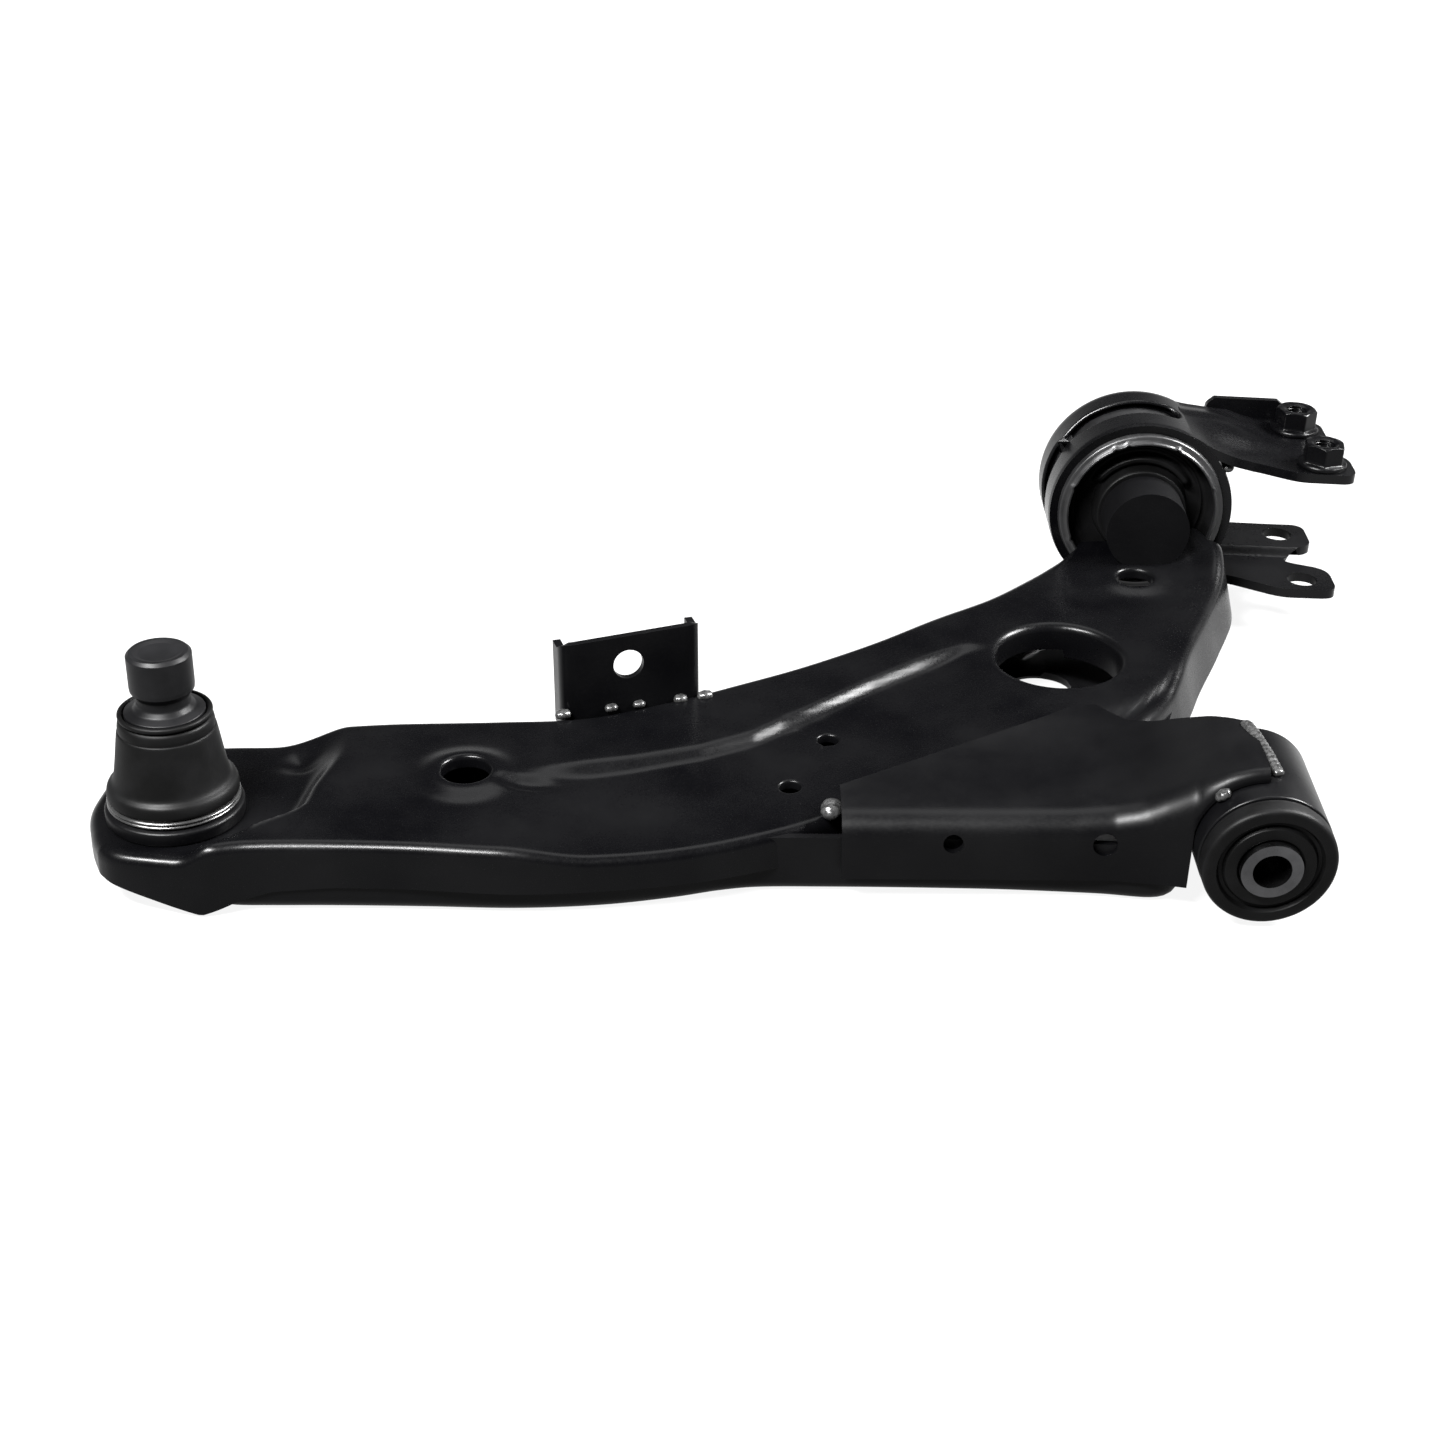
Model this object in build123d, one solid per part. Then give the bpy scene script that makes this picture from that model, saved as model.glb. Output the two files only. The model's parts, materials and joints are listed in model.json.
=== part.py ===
from build123d import *
import math
import os

# Front lower control arm of a car, left side, loose on a bench. Millimetres, +Z up.
# Origin: centre of the front bush bore. +X runs inboard, +Y towards the rear bush.

# ---- driving dimensions ----
sheet = 3.0                    # pressed sheet of the two shells and the carrier
gap = 0.3                      # clearance between nested pressings
floor_z = -26.0                # underside of the lower shell
top_z = 1.5                    # top face of the arm
nose_z = -5.5                  # lowered seat around the ball joint
leg_end_z = 7.0                # top face where the rear leg meets the bush
leg_start_y = 60.0
leg_end_y = 204.0
upper_edge_z = -16.5           # lower edge of the upper shell's side walls
lower_rim_z = -4.0             # top edge of the lower shell's side walls

ball_x, ball_y, ball_z = -353.3, 14.0, -11.0
seat_radius = 42.0             # round lowered seat around the ball joint
ball_radius = 12.0
ball_gap = 0.05                # running clearance of the ball in its seat
cup_radius = 19.4              # forged cup that is pressed into the arm
stud_radius = 10.6             # clamped head of the stud
stud_length = 65.5             # from the ball centre to its flat end

rear_x, rear_y, rear_z = -8.6, 227.0, 19.0
band_radius = 36.0
band_half = 19.0
band_wall = 3.4
pin_radius = 12.0              # pin welded into the end of the rear leg
spigot_root_radius = 16.0
rear_sleeve_radius = 14.8
bracket_tilt = 3.0             # the bracket hangs this far from level, in degrees
bolts = ((67.3, -21.0), (63.4, 15.0))   # bracket bolts, from the rear bush centre
bolt_hole_radius = 6.0
upper_plate_z = 20.0           # underside of the upper bracket plate
lower_plate_z = -25.0          # top of the lower bracket plate
plate = 3.8
ear_step = 3.5                 # the far ear stands this much higher
ear_radius = 10.0
ear_reach = 2.2                # the ears run this much further outwards
notch_radius = 6.5
flange_sheet = 2.8             # upturned far edge of the upper plate
weld_nut_height = 9.4
nut_flange_radius, nut_corner_radius = 9.6, 8.2
thread_radius = 4.25

tube_radius = 22.0
tube_wall = 3.0
tube_start, tube_end = -19.5, 21.5
sleeve_half = 29.0
sleeve_radius = 10.0
bolt_bore_radius = 6.3
fit_gap = 0.05                 # radial clearance of the bushes' turning fits

big_hole_x, big_hole_y, big_hole_radius = -50.5, 113.0, 22.5
plain_holes = ((-258.4, 28.8, 8.2), (-14.8, 173.0, 7.0), (-136.5, 50.6, 3.7), (-150.3, 17.2, 3.7))
lower_hole_radius = 34.0       # opening in the lower shell under the big hole
carrier_hole_radius = 3.4
link_yaw = 16.3                # the link bracket's turn about Z, in degrees
link_x, link_y, link_z = -204.0, 76.2, 2.0
link_width, link_height, link_sheet, link_flange = 50.4, 27.0, 2.8, 12.5
link_hole_radius = 5.4
link_hole_x, link_hole_z = -1.2, 16.2

bush_yaw = math.degrees(math.atan2(-rear_x, rear_y))
bush_pitch = math.degrees(math.atan2(rear_z, rear_y))
bush_place = Rot(0, 0, bush_yaw) * Rot(bush_pitch, 0, 0)
ball_place = Pos(ball_x, ball_y, ball_z)
bracket_place = Pos(rear_x, rear_y, rear_z) * Rot(0, bracket_tilt, 0)
link_place = Pos(link_x, link_y, link_z) * Rot(0, 0, link_yaw)


# ---- helpers ----
def rounded(corners):
    """Closed face through corner points (x, y, corner radius)."""
    points = [(x, y) for x, y, r in corners]
    radii = [r for x, y, r in corners]
    return make_face(FilletPolyline(*points, radius=radii, close=True))


def prism(face, low, high):
    return extrude(Pos(0, 0, low) * face, high - low)


def side_prism(points, low, high):
    """Solid whose outline is drawn in X and Z and runs along Y from low to high."""
    face = make_face(Polyline(*[(x, 0, z) for x, z in points], close=True))
    return Pos(0, low, 0) * extrude(face, high - low, dir=(0, 1, 0))


def cross_prism(points, low, high):
    """Solid whose outline is drawn in Y and Z and runs along X from low to high."""
    face = make_face(Polyline(*[(0, y, z) for y, z in points], close=True))
    return Pos(low, 0, 0) * extrude(face, high - low, dir=(1, 0, 0))


def rod(radius, low, high):
    """Cylinder along Y."""
    return Pos(0, (low + high) / 2, 0) * Rot(90, 0, 0) * Cylinder(radius, high - low)


def ring(outer, inner, low, high):
    return rod(outer, low, high) - rod(inner, low - 1, high + 1)


def turned(points):
    """Solid of revolution about Z from a profile of (radius, z) points."""
    face = make_face(Polyline(*[(r, 0, z) for r, z in points], close=True))
    return revolve(face, Axis.Z, 360)


def upright(radius, x, y, low, high):
    return Pos(x, y, (low + high) / 2) * Cylinder(radius, high - low)


# ---- pressed arm ----
def beam_face():
    """Plan of the arm: a nose around the ball joint and a leg to the rear bush."""
    return rounded([
        (-383, -19.8, 32), (-205, -19.8, 110), (-125, 14, 60), (-41, 24, 32), (22.5, 182, 70),
        (23.5, leg_end_y, 4), (-32.5, leg_end_y, 3), (-59, 166, 60), (-128, 112, 150), (-218, 66, 90),
        (-300, 64, 40), (-327, 54, 24), (-383, 54, 34)])


def front_line(depth):
    """Front wall of the branch to the bush, set back by depth, as rounded corners."""
    return [(-46, -9.5 + depth, 30), (-24, -14.5 + depth, 10)]


def branch_face():
    """Plan of the lower shell's short branch to the front bush."""
    depth = sheet + 2 * gap
    return rounded([(-200, -10, 5), (-164, -3.6, 40)] + front_line(depth)
                   + [(-3, -9.3, 1), (-3, 22, 1), (-40, 50, 10), (-80, 60, 10), (-120, 30, 10)])


def top_profile(drop):
    """Block under the arm's top face, which climbs along the rear leg."""
    return cross_prism([(-80, -60), (leg_end_y + 40, -60), (leg_end_y + 40, leg_end_z - drop),
                        (leg_end_y, leg_end_z - drop), (leg_start_y, top_z - drop),
                        (-80, top_z - drop)], -420, 60)


def edge_profile():
    """Block above the arm's lower edge, which dips to a corner below the nose."""
    return side_prism([(-420, -7), (-382, -9), (-372, -15.5), (-341, floor_z + 0.5), (-332, -22), (-318, -18),
                       (-300, upper_edge_z), (60, upper_edge_z), (60, 60), (-420, 60)], -80, 260)


def seat_cut(grow, z):
    """Lowers the nose: a round seat, and everything outboard of the ball joint."""
    outboard = Pos(ball_x - 60, ball_y, (z + 40) / 2) * Box(120, 160, 40 - z)
    return upright(seat_radius + grow, ball_x, ball_y, z, 40) + outboard


def spigot_room(radius):
    return Pos(rear_x, rear_y, rear_z) * rod(radius, -rear_y + 186, 30)


def upper_shell():
    outer = prism(beam_face(), -40, 40) & top_profile(0)
    outer = outer - seat_cut(0, nose_z)
    inner = prism(offset(beam_face(), -sheet), -40, 40) & top_profile(sheet)
    inner = inner - seat_cut(sheet, nose_z - sheet)
    shell = (outer & edge_profile()) - inner
    collar = upright(big_hole_radius + sheet, big_hole_x, big_hole_y, -14, 3)
    shell = shell + collar - upright(big_hole_radius, big_hole_x, big_hole_y, -40, 20)
    for x, y, r in plain_holes:
        shell -= upright(r, x, y, -14, 20)
    shell -= upright(cup_radius + 0.2, ball_x, ball_y, -30, 0)
    return shell - spigot_room(spigot_root_radius + 0.2)


def lower_shell():
    nested = offset(beam_face(), -(sheet + gap))
    plan = nested + branch_face()
    shell = prism(plan, floor_z, lower_rim_z) - prism(offset(plan, -sheet), floor_z + sheet, 10)
    shell -= Pos(ball_x - 42.5, ball_y, -10) * Box(115, 120, 60)
    shell -= Pos(-318, ball_y, 0) * Box(52, 120, 2 * (sheet + gap - nose_z))
    shell -= upright(lower_hole_radius, big_hole_x, big_hole_y + 11, -60, 20)
    shell -= upright(25, ball_x, ball_y, -60, 20)
    wall_path = offset(beam_face(), gap) - nested
    shell -= prism(wall_path, upper_edge_z - gap, 10)
    shell -= prism(Pos(-166, -10) * Rectangle(66, 60) - nested, upper_edge_z - gap, 10)
    return shell - bush_place * rod(tube_radius, -40, 40)


def bush_carrier():
    """Saddle on the arm's front corner that climbs onto the bush tube."""
    plan = rounded([(-134, -8.5, 1)] + front_line(0) + [(3, -12, 1), (-3, 24, 1), (-29, 41, 12),
                                                        (-43, 69, 3), (-52, 69, 3), (-134, 15, 1)])
    inside = rounded([(-140, -8.5 + sheet, 1)] + front_line(sheet) + [(10, -9, 1), (10, 90, 1),
                                                                      (-140, 90, 1)])
    climb = [(-140, -17.5), (-140, 5), (-46, 5), (-32, 10), (-20, 17.5), (-11, 23), (0, 25.2),
             (10, 25.2), (10, -17.5)]
    under = [(x, z - sheet) for x, z in climb]
    outer = prism(plan, -40, 40) & side_prism(climb, -80, 120)
    inner = prism(inside, -40, 40) & side_prism([(-140, -40)] + under[1:-1] + [(10, -40)], -80, 120)
    carrier = outer - inner - bush_place * rod(tube_radius, -60, 60)
    for x in (-98, -49):
        carrier -= Pos(x, -8, -3) * Rot(90, 0, 0) * Cylinder(carrier_hole_radius, 12)
    return carrier - upright(30, 33, 8, -60, 60)


# ---- front bush ----
def front_bush_housing():
    return bush_place * ring(tube_radius, tube_radius - tube_wall, tube_start, tube_end)


def front_bush_outer_ring():
    return bush_place * ring(tube_radius - tube_wall, 17.4, tube_start, tube_end - 1)


def front_bush_rubber():
    body = rod(17.4, tube_start, tube_end - 1) + rod(21.5, -27, tube_start) + rod(16, 20, 27.5)
    groove = ring(17.2, 15.8, -28, -25.6)
    return bush_place * (body - groove - rod(sleeve_radius + fit_gap, -40, 40))


def front_bush_inner_sleeve():
    return bush_place * ring(sleeve_radius, bolt_bore_radius, -sleeve_half, sleeve_half)


# ---- ball joint ----
def ball_joint_housing():
    cup = turned([(0, -14), (cup_radius, -14), (cup_radius, 5.5), (23, 5.5), (23, 10.2), (20.8, 11),
                  (13.6, 11), (10.9, 5.5), (0, 5.5)])
    well = Pos(0, 0, -7.25) * Cylinder(14.4, 25.5)
    mouth = turned([(0, 0), (10.9, 5.5), (13.6, 11), (13.6, 15), (0, 15)])
    return ball_place * (cup - well - mouth)


def ball_joint_cover():
    return ball_place * turned([(0, -13.9), (14.3, -13.9), (14.3, -12.4), (0, -12.4)])


def ball_seat():
    liner = turned([(0, -12.3), (13, -12.3), (14.3, -11), (14.3, 5.4), (0, 5.4)])
    return ball_place * (liner - Sphere(ball_radius + ball_gap) - Pos(0, 0, 12) * Cylinder(10.6, 24))


def ball_stud():
    shank = turned([(0, 5), (6.4, 5), (6.4, 15), (8.0, 33), (8.4, 41.4), (13.2, 42.6), (13.2, 44.6),
                    (10.0, 45.6), (9.0, 47.4), (8.8, 50), (10.4, 52.2), (stud_radius, 53.4),
                    (stud_radius, stud_length - 0.8), (stud_radius - 0.8, stud_length),
                    (0, stud_length)])
    return ball_place * (Sphere(ball_radius) + shank)


def dust_boot():
    return ball_place * turned([
        (19.0, 14), (21.2, 14), (21.6, 16), (21.2, 18.6), (19.6, 20), (18.6, 22), (17.6, 27),
        (16.6, 34), (15.4, 40), (15.0, 42), (13.5, 42), (13.5, 40), (14.6, 34), (15.6, 27),
        (16.5, 21), (18.0, 17)])


def boot_lower_ring():
    return ball_place * turned([(18.4, 11.1), (21.9, 11.1), (21.9, 13.8), (18.4, 13.8)])


def boot_upper_ring():
    return ball_place * turned([(13.5, 42.8), (15.4, 42.8), (15.4, 44.4), (13.5, 44.4)])


# ---- rear bush ----
def rear_spigot():
    pin = rod(pin_radius, -30, 24) + rod(spigot_root_radius, -40, -22)
    return Pos(rear_x, rear_y, rear_z) * pin


def spigot_washer():
    return Pos(rear_x, rear_y, rear_z) * ring(15, pin_radius, 22, 24)


def rear_bush_inner_sleeve():
    return Pos(rear_x, rear_y, rear_z) * ring(rear_sleeve_radius, pin_radius, -21.5, 21.5)


def rear_bush_rubber():
    inner = rear_sleeve_radius + fit_gap
    body = ring(30.6, inner, -18, 18) + ring(17.6, inner, -21.4, -18)
    arch = (ring(21.5, 18.5, -20, -17) & Pos(0, -18.5, 15) * Box(60, 10, 30))
    return bracket_place * (body + arch)


def rear_bush_can():
    wall = ring(32.5, 30.7, -18.6, 20.5)
    lip = ring(30.6, 28.4, -22, -18.2) + ring(32.4, 28.4, -18.8, -18.2)
    return bracket_place * (wall + lip)


def band_slot(start, end):
    """Cutter for a round-ended slot in the band, between two angles from the top."""
    radius = 6.2
    cutters = [Rot(0, angle, 0) * upright(radius, 0, 1, 25, 45) for angle in (start, end)]
    wedge = [(0, 0)]
    steps = 8
    for i in range(steps + 1):
        a = math.radians(start + (end - start) * i / steps)
        wedge.append((60 * math.sin(a), 60 * math.cos(a)))
    return cutters[0] + cutters[1] + (side_prism(wedge, 1 - radius, 1 + radius) - rod(25, -20, 20))


def rear_band():
    band = ring(band_radius, band_radius - band_wall + 0.1, -band_half, band_half)
    for start, end in ((-48, 14), (-92, -66), (-150, -118)):
        band -= band_slot(start, end)
    return bracket_place * band


def notch():
    """Middle of the round notch between the two ears."""
    (near_x, near_y), (far_x, far_y) = bolts
    return (near_x + far_x) / 2 - 6, (near_y + far_y) / 2


def plate_plan():
    """Plan of a bracket plate: a waist at the band and an ear around each bolt."""
    (near_x, near_y), (far_x, far_y) = bolts
    plan = rounded([(8, -band_half, 0), (36, -band_half, 30), (near_x - 10, near_y - ear_radius, 30),
                    (near_x + ear_radius + ear_reach, near_y - ear_radius, ear_radius - 0.5),
                    (near_x + ear_radius + ear_reach, near_y + ear_radius, ear_radius - 0.5),
                    (*notch(), notch_radius),
                    (far_x + ear_radius + ear_reach, far_y - ear_radius, 7),
                    (far_x + ear_radius + ear_reach, far_y + ear_radius, ear_radius - 0.5),
                    (40, far_y + ear_radius, 20), (32, band_half, 10), (8, band_half, 0)])
    return plan


def bolt_holes(radius):
    return [Pos(x, y, 0) * Cylinder(radius, 120) for x, y in bolts]


def bracket_upper_plate():
    rise = [(8, 34.6), (26, 31), (44, upper_plate_z + plate), (90, upper_plate_z + plate),
            (90, upper_plate_z), (44, upper_plate_z), (28, 24), (8, 26)]
    body = side_prism(rise, -60, 60) & prism(plate_plan(), -60, 60)
    far_edge = bolts[1][1] + ear_radius
    flange = side_prism([(28, 22), (28, 31), (31, 33), (57, 33.4), (60, 31.5), (61, 22)],
                        far_edge - flange_sheet, far_edge)
    body = body + flange - rod(band_radius, -60, 60)
    for hole in bolt_holes(bolt_hole_radius):
        body -= hole
    return bracket_place * body


def bracket_lower_plate():
    near = prism(plate_plan(), lower_plate_z - plate, lower_plate_z)
    far = prism(plate_plan(), lower_plate_z - plate + ear_step, lower_plate_z + ear_step)
    split = 2.0
    near &= Pos(40, split - 50, 0) * Box(200, 100, 200)
    far &= Pos(40, split + 50, 0) * Box(200, 100, 200)
    web = Pos(42, split, lower_plate_z - plate / 2 + ear_step / 2) * Box(46, plate, plate + ear_step)
    body = near + far + web - rod(band_radius, -60, 60)
    for hole in bolt_holes(bolt_hole_radius):
        body -= hole
    return bracket_place * body


def bracket_nuts():
    """Two weld nuts with a round flange on the upper plate."""
    base = upper_plate_z + plate
    far_edge = bolts[1][1] + ear_radius
    far_flange_room = Pos(45, far_edge - flange_sheet + 20, base) * Box(80, 40, 60)
    nuts = []
    for x, y in bolts:
        nut = Pos(x, y, base + 1) * Cylinder(nut_flange_radius, 2)
        nut += extrude(Pos(x, y, base + 2) * RegularPolygon(nut_corner_radius, 6), weld_nut_height - 2)
        nut -= Pos(x, y, base) * Cylinder(thread_radius, 40) + far_flange_room
        nuts.append(bracket_place * nut)
    return Compound(children=[n.solid() for n in nuts])


# ---- link bracket and welds ----
def link_bracket():
    root = 16.0                # how far the blank reaches down before it is cut to the arm
    web = Pos(0, link_sheet / 2, (link_height - root) / 2) * Box(link_width, link_sheet, link_height + root)
    side_height = link_height - 3
    for side in (-1, 1):
        place = Pos(side * (link_width - link_sheet) / 2, link_flange / 2, (side_height - root) / 2)
        web += place * Box(link_sheet, link_flange, side_height + root)
    web -= Pos(link_hole_x, 0, link_hole_z) * Rot(90, 0, 0) * Cylinder(link_hole_radius, 30)
    return link_place * web - (prism(beam_face(), -40, 40) & top_profile(0))


def blob(x, y, z, radius):
    return Pos(x, y, z) * Sphere(radius)


def bead(start, end, radius):
    path = Line(start, end)
    return sweep(path.location_at(0) * Circle(radius), path) + blob(*start, radius) + blob(*end, radius)


def trimmed(welds, *neighbours):
    """Each weld cut back to its neighbours, keeping its largest piece."""
    kept = []
    for weld in welds:
        for body in neighbours:
            weld -= body
        kept.append(weld.solids().sort_by(SortBy.VOLUME)[-1])
    return Compound(children=kept)


def tube_weld(pieces):
    welds = [bead((-1, 22, 24.2), (4.5, -9, 21.6), 2.2), blob(-13.5, -14, 17.2, 2.6)]
    return trimmed(welds, pieces["front_bush_housing"], pieces["bush_carrier"])


def carrier_welds(pieces):
    welds = [blob(-137, 5.5, -0.5, 4.8), blob(-38, 60, 3, 3.5)]
    return trimmed(welds, pieces["upper_shell"], pieces["bush_carrier"], pieces["lower_shell"])


def link_bracket_welds(pieces):
    welds = [link_place * blob(x, 0, 0.5, 2.8) for x in (-25, -8, 2, 17, 26.5)]
    return trimmed(welds, pieces["upper_shell"], pieces["link_bracket"])


def bracket_welds(pieces):
    welds = [bracket_place * bead((27, -16, -24), (27, 0, -24), 2.6),
             bracket_place * bead((32.5, -16, 18.4), (32.5, 16, 18.4), 2.6)]
    return trimmed(welds, pieces["rear_band"], pieces["bracket_upper_plate"],
                   pieces["bracket_lower_plate"])


def build():
    os.makedirs("parts", exist_ok=True)
    pieces = {}
    for make in (upper_shell, lower_shell, bush_carrier, front_bush_housing, front_bush_outer_ring,
                 front_bush_rubber, front_bush_inner_sleeve, ball_joint_housing, ball_joint_cover,
                 ball_seat, ball_stud, dust_boot, boot_lower_ring, boot_upper_ring, rear_spigot,
                 spigot_washer, rear_bush_inner_sleeve, rear_bush_rubber, rear_bush_can, rear_band,
                 bracket_upper_plate, bracket_lower_plate, bracket_nuts, link_bracket):
        pieces[make.__name__] = make()
    for make in (tube_weld, carrier_welds, link_bracket_welds, bracket_welds):
        pieces[make.__name__] = make(pieces)
    for name, piece in pieces.items():
        export_step(piece, f"parts/{name}.step")
        print(name, round(piece.volume))
    return pieces


pieces = build()
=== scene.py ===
import json
import math
import bpy
import bmesh
import numpy as np
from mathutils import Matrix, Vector


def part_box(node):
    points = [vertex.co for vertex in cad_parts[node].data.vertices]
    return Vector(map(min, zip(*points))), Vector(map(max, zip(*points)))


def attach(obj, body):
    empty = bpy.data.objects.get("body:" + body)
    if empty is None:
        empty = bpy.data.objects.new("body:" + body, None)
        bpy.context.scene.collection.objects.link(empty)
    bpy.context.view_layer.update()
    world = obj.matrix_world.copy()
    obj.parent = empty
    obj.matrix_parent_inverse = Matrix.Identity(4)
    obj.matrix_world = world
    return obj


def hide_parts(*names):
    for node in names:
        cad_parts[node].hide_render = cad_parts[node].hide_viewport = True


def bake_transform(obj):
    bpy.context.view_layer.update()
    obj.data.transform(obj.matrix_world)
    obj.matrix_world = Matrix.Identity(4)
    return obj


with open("model.json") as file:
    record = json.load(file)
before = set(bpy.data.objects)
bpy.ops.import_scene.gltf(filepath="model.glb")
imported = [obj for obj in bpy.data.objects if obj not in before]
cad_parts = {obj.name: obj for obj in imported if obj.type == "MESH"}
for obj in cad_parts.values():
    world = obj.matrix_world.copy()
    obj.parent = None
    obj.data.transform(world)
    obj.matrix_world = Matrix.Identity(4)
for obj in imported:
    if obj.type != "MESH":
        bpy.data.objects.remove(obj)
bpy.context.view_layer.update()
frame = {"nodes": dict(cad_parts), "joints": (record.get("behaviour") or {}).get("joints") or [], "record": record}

mm = 0.001
mergeDistance = 0.002 * mm
nodes = frame["nodes"]
joints = {j["name"]: j for j in frame["joints"]}
mounts = {m["name"]: m for m in frame["record"]["mounts"]}
ballCentre = np.array(joints["stud_tilt"]["pos_m"]) / mm      # millimetres from here on, until a mesh is made
rearCentre = np.array(joints["rear_bush_twist"]["pos_m"]) / mm
bushAxis = -np.array(mounts["front_bush_bore"]["axis"])
bracketUp = np.array(mounts["bracket_nut_thread_near"]["axis"]) * -1
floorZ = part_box("lower_shell")[0].z


# numbers and curves
def ease(x, a, b):   # smooth step: 0 before a, 1 after b, cubic between
    t = np.clip((np.asarray(x, float) - a) / (b - a), 0, 1)
    return t * t * (3 - 2 * t)


def alongSpans(points, perSpan):   # cubic Hermite spans, each tangent half the difference of the neighbours
    p = np.array(points, float)
    e = np.vstack([2 * p[0] - p[1], p, 2 * p[-1] - p[-2]])
    t = np.linspace(0, len(p) - 1, perSpan * (len(p) - 1) + 1)
    i = np.minimum(t.astype(int), len(p) - 2)
    f = (t - i)[:, None]
    a, b, c, d = e[i], e[i + 1], e[i + 2], e[i + 3]
    square, cube = 2 * a - 5 * b + 4 * c - d, 3 * b - a - 3 * c + d
    return 0.5 * (2 * b + (c - a) * f + square * f**2 + cube * f**3)


def runLength(path):   # distance from the path's start to each of its points
    return np.r_[0, np.cumsum(np.linalg.norm(np.diff(path, axis=0), axis=1))]


def evenly(path, count):   # the same path with points at equal distances
    d = runLength(path)
    s = np.linspace(0, d[-1], count)
    return np.stack([np.interp(s, d, path[:, k]) for k in range(path.shape[1])], 1)


def smoothPath(points, count):
    return evenly(alongSpans(points, 40), count)


def sideways(path):   # unit normals in plan, to the left of the way the path runs
    t = np.gradient(path[:, :2], axis=0)
    t /= np.linalg.norm(t, axis=1)[:, None]
    return np.stack([-t[:, 1], t[:, 0]], 1)


def waves(x, y, z, seed, size):   # gentle unevenness: five sine waves in fixed random directions
    r = np.random.default_rng(seed)
    total = 0
    for _ in range(5):
        kx, ky, kz = r.normal(size=3) / size
        total = total + np.sin(kx * x + ky * y + kz * z + r.uniform(0, 6.28))
    return total / 5


# meshes
def newPiece(name, verts, faces, smooth=True):   # millimetre points to a metre mesh at the origin
    mesh = bpy.data.meshes.new(name)
    mesh.from_pydata((np.asarray(verts) * mm).tolist(), [], faces)
    mesh.validate()
    bm = bmesh.new()
    bm.from_mesh(mesh)
    bmesh.ops.remove_doubles(bm, verts=bm.verts, dist=mergeDistance)
    loose = [v for v in bm.verts if not v.link_faces]
    bmesh.ops.delete(bm, geom=loose, context="VERTS")
    bm.to_mesh(mesh)
    bm.free()
    mesh.polygons.foreach_set("use_smooth", np.full(len(mesh.polygons), smooth))
    piece = bpy.data.objects.new(name, mesh)
    bpy.context.scene.collection.objects.link(piece)
    return piece


def gridFaces(nu, nv, closeU=False, closeV=False, keep=None, start=0, flip=False):
    # quads of a grid whose point (i, j) is number start + i * nv + j
    cells = np.arange(nu if closeU else nu - 1), np.arange(nv if closeV else nv - 1)
    i, j = np.meshgrid(*cells, indexing="ij")
    a, b = i * nv + j, ((i + 1) % nu) * nv + j
    c, d = ((i + 1) % nu) * nv + (j + 1) % nv, i * nv + (j + 1) % nv
    quads = np.stack([a, d, c, b] if flip else [a, b, c, d], -1) + start
    quads = quads[keep] if keep is not None else quads.reshape(-1, 4)
    return quads.reshape(-1, 4).tolist()


def gridPiece(name, grid, **how):
    return newPiece(name, grid.reshape(-1, 3), gridFaces(grid.shape[0], grid.shape[1], **how))


def turnFaces(piece, facing=None):
    # a closed surface gets its faces outwards; an open sheet is turned so that the faces' areas times what
    # facing says of each of them add up to more than nothing
    bm = bmesh.new()
    bm.from_mesh(piece.data)
    bmesh.ops.remove_doubles(bm, verts=bm.verts, dist=mergeDistance)
    bmesh.ops.recalc_face_normals(bm, faces=bm.faces)
    if facing and sum(facing(f) * f.calc_area() for f in bm.faces) < 0:
        bmesh.ops.reverse_faces(bm, faces=bm.faces)
    bm.to_mesh(piece.data)
    bm.free()
    return piece


def upwards(face):
    return face.normal.z


def awayFrom(centre):
    middle = Vector(tuple(np.array(centre) * mm))
    return lambda face: face.normal.dot(face.calc_center_median() - middle)


def roundEdges(piece, width, angle):
    bevel = piece.modifiers.new("edges", "BEVEL")
    bevel.width = width * mm
    bevel.segments = 2
    bevel.limit_method = "ANGLE"
    bevel.angle_limit = math.radians(angle)
    bevel.harden_normals = True
    return piece


def sheetMetal(piece, thickness, edge=0.5):   # sheet thickness under the surface, and rounded cut edges
    solid = piece.modifiers.new("thickness", "SOLIDIFY")
    solid.thickness = thickness * mm
    solid.offset = -1
    return roundEdges(piece, edge, 50)


def turnedGrid(profile, centre, axis, count=96):   # a (radius, height) profile carried round an axis
    profile = np.array(profile, float)
    axis = np.array(axis, float) / np.linalg.norm(axis)
    side = np.cross(axis, [0.3, 0.2, 1.0] if abs(axis[2]) < 0.9 else [1.0, 0, 0])
    side /= np.linalg.norm(side)
    other = np.cross(axis, side)
    a = np.linspace(0, 2 * np.pi, count, endpoint=False)
    ring = np.cos(a)[:, None] * side + np.sin(a)[:, None] * other
    return np.array(centre) + profile[None, :, :1] * ring[:, None, :] + profile[None, :, 1:] * axis


def turnedPiece(name, profile, centre, axis, count=96, wobble=None):
    grid = turnedGrid(profile, centre, axis, count)
    if wobble is not None:
        grid = wobble(grid)
    return turnFaces(gridPiece(name, grid, closeU=True))


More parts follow.
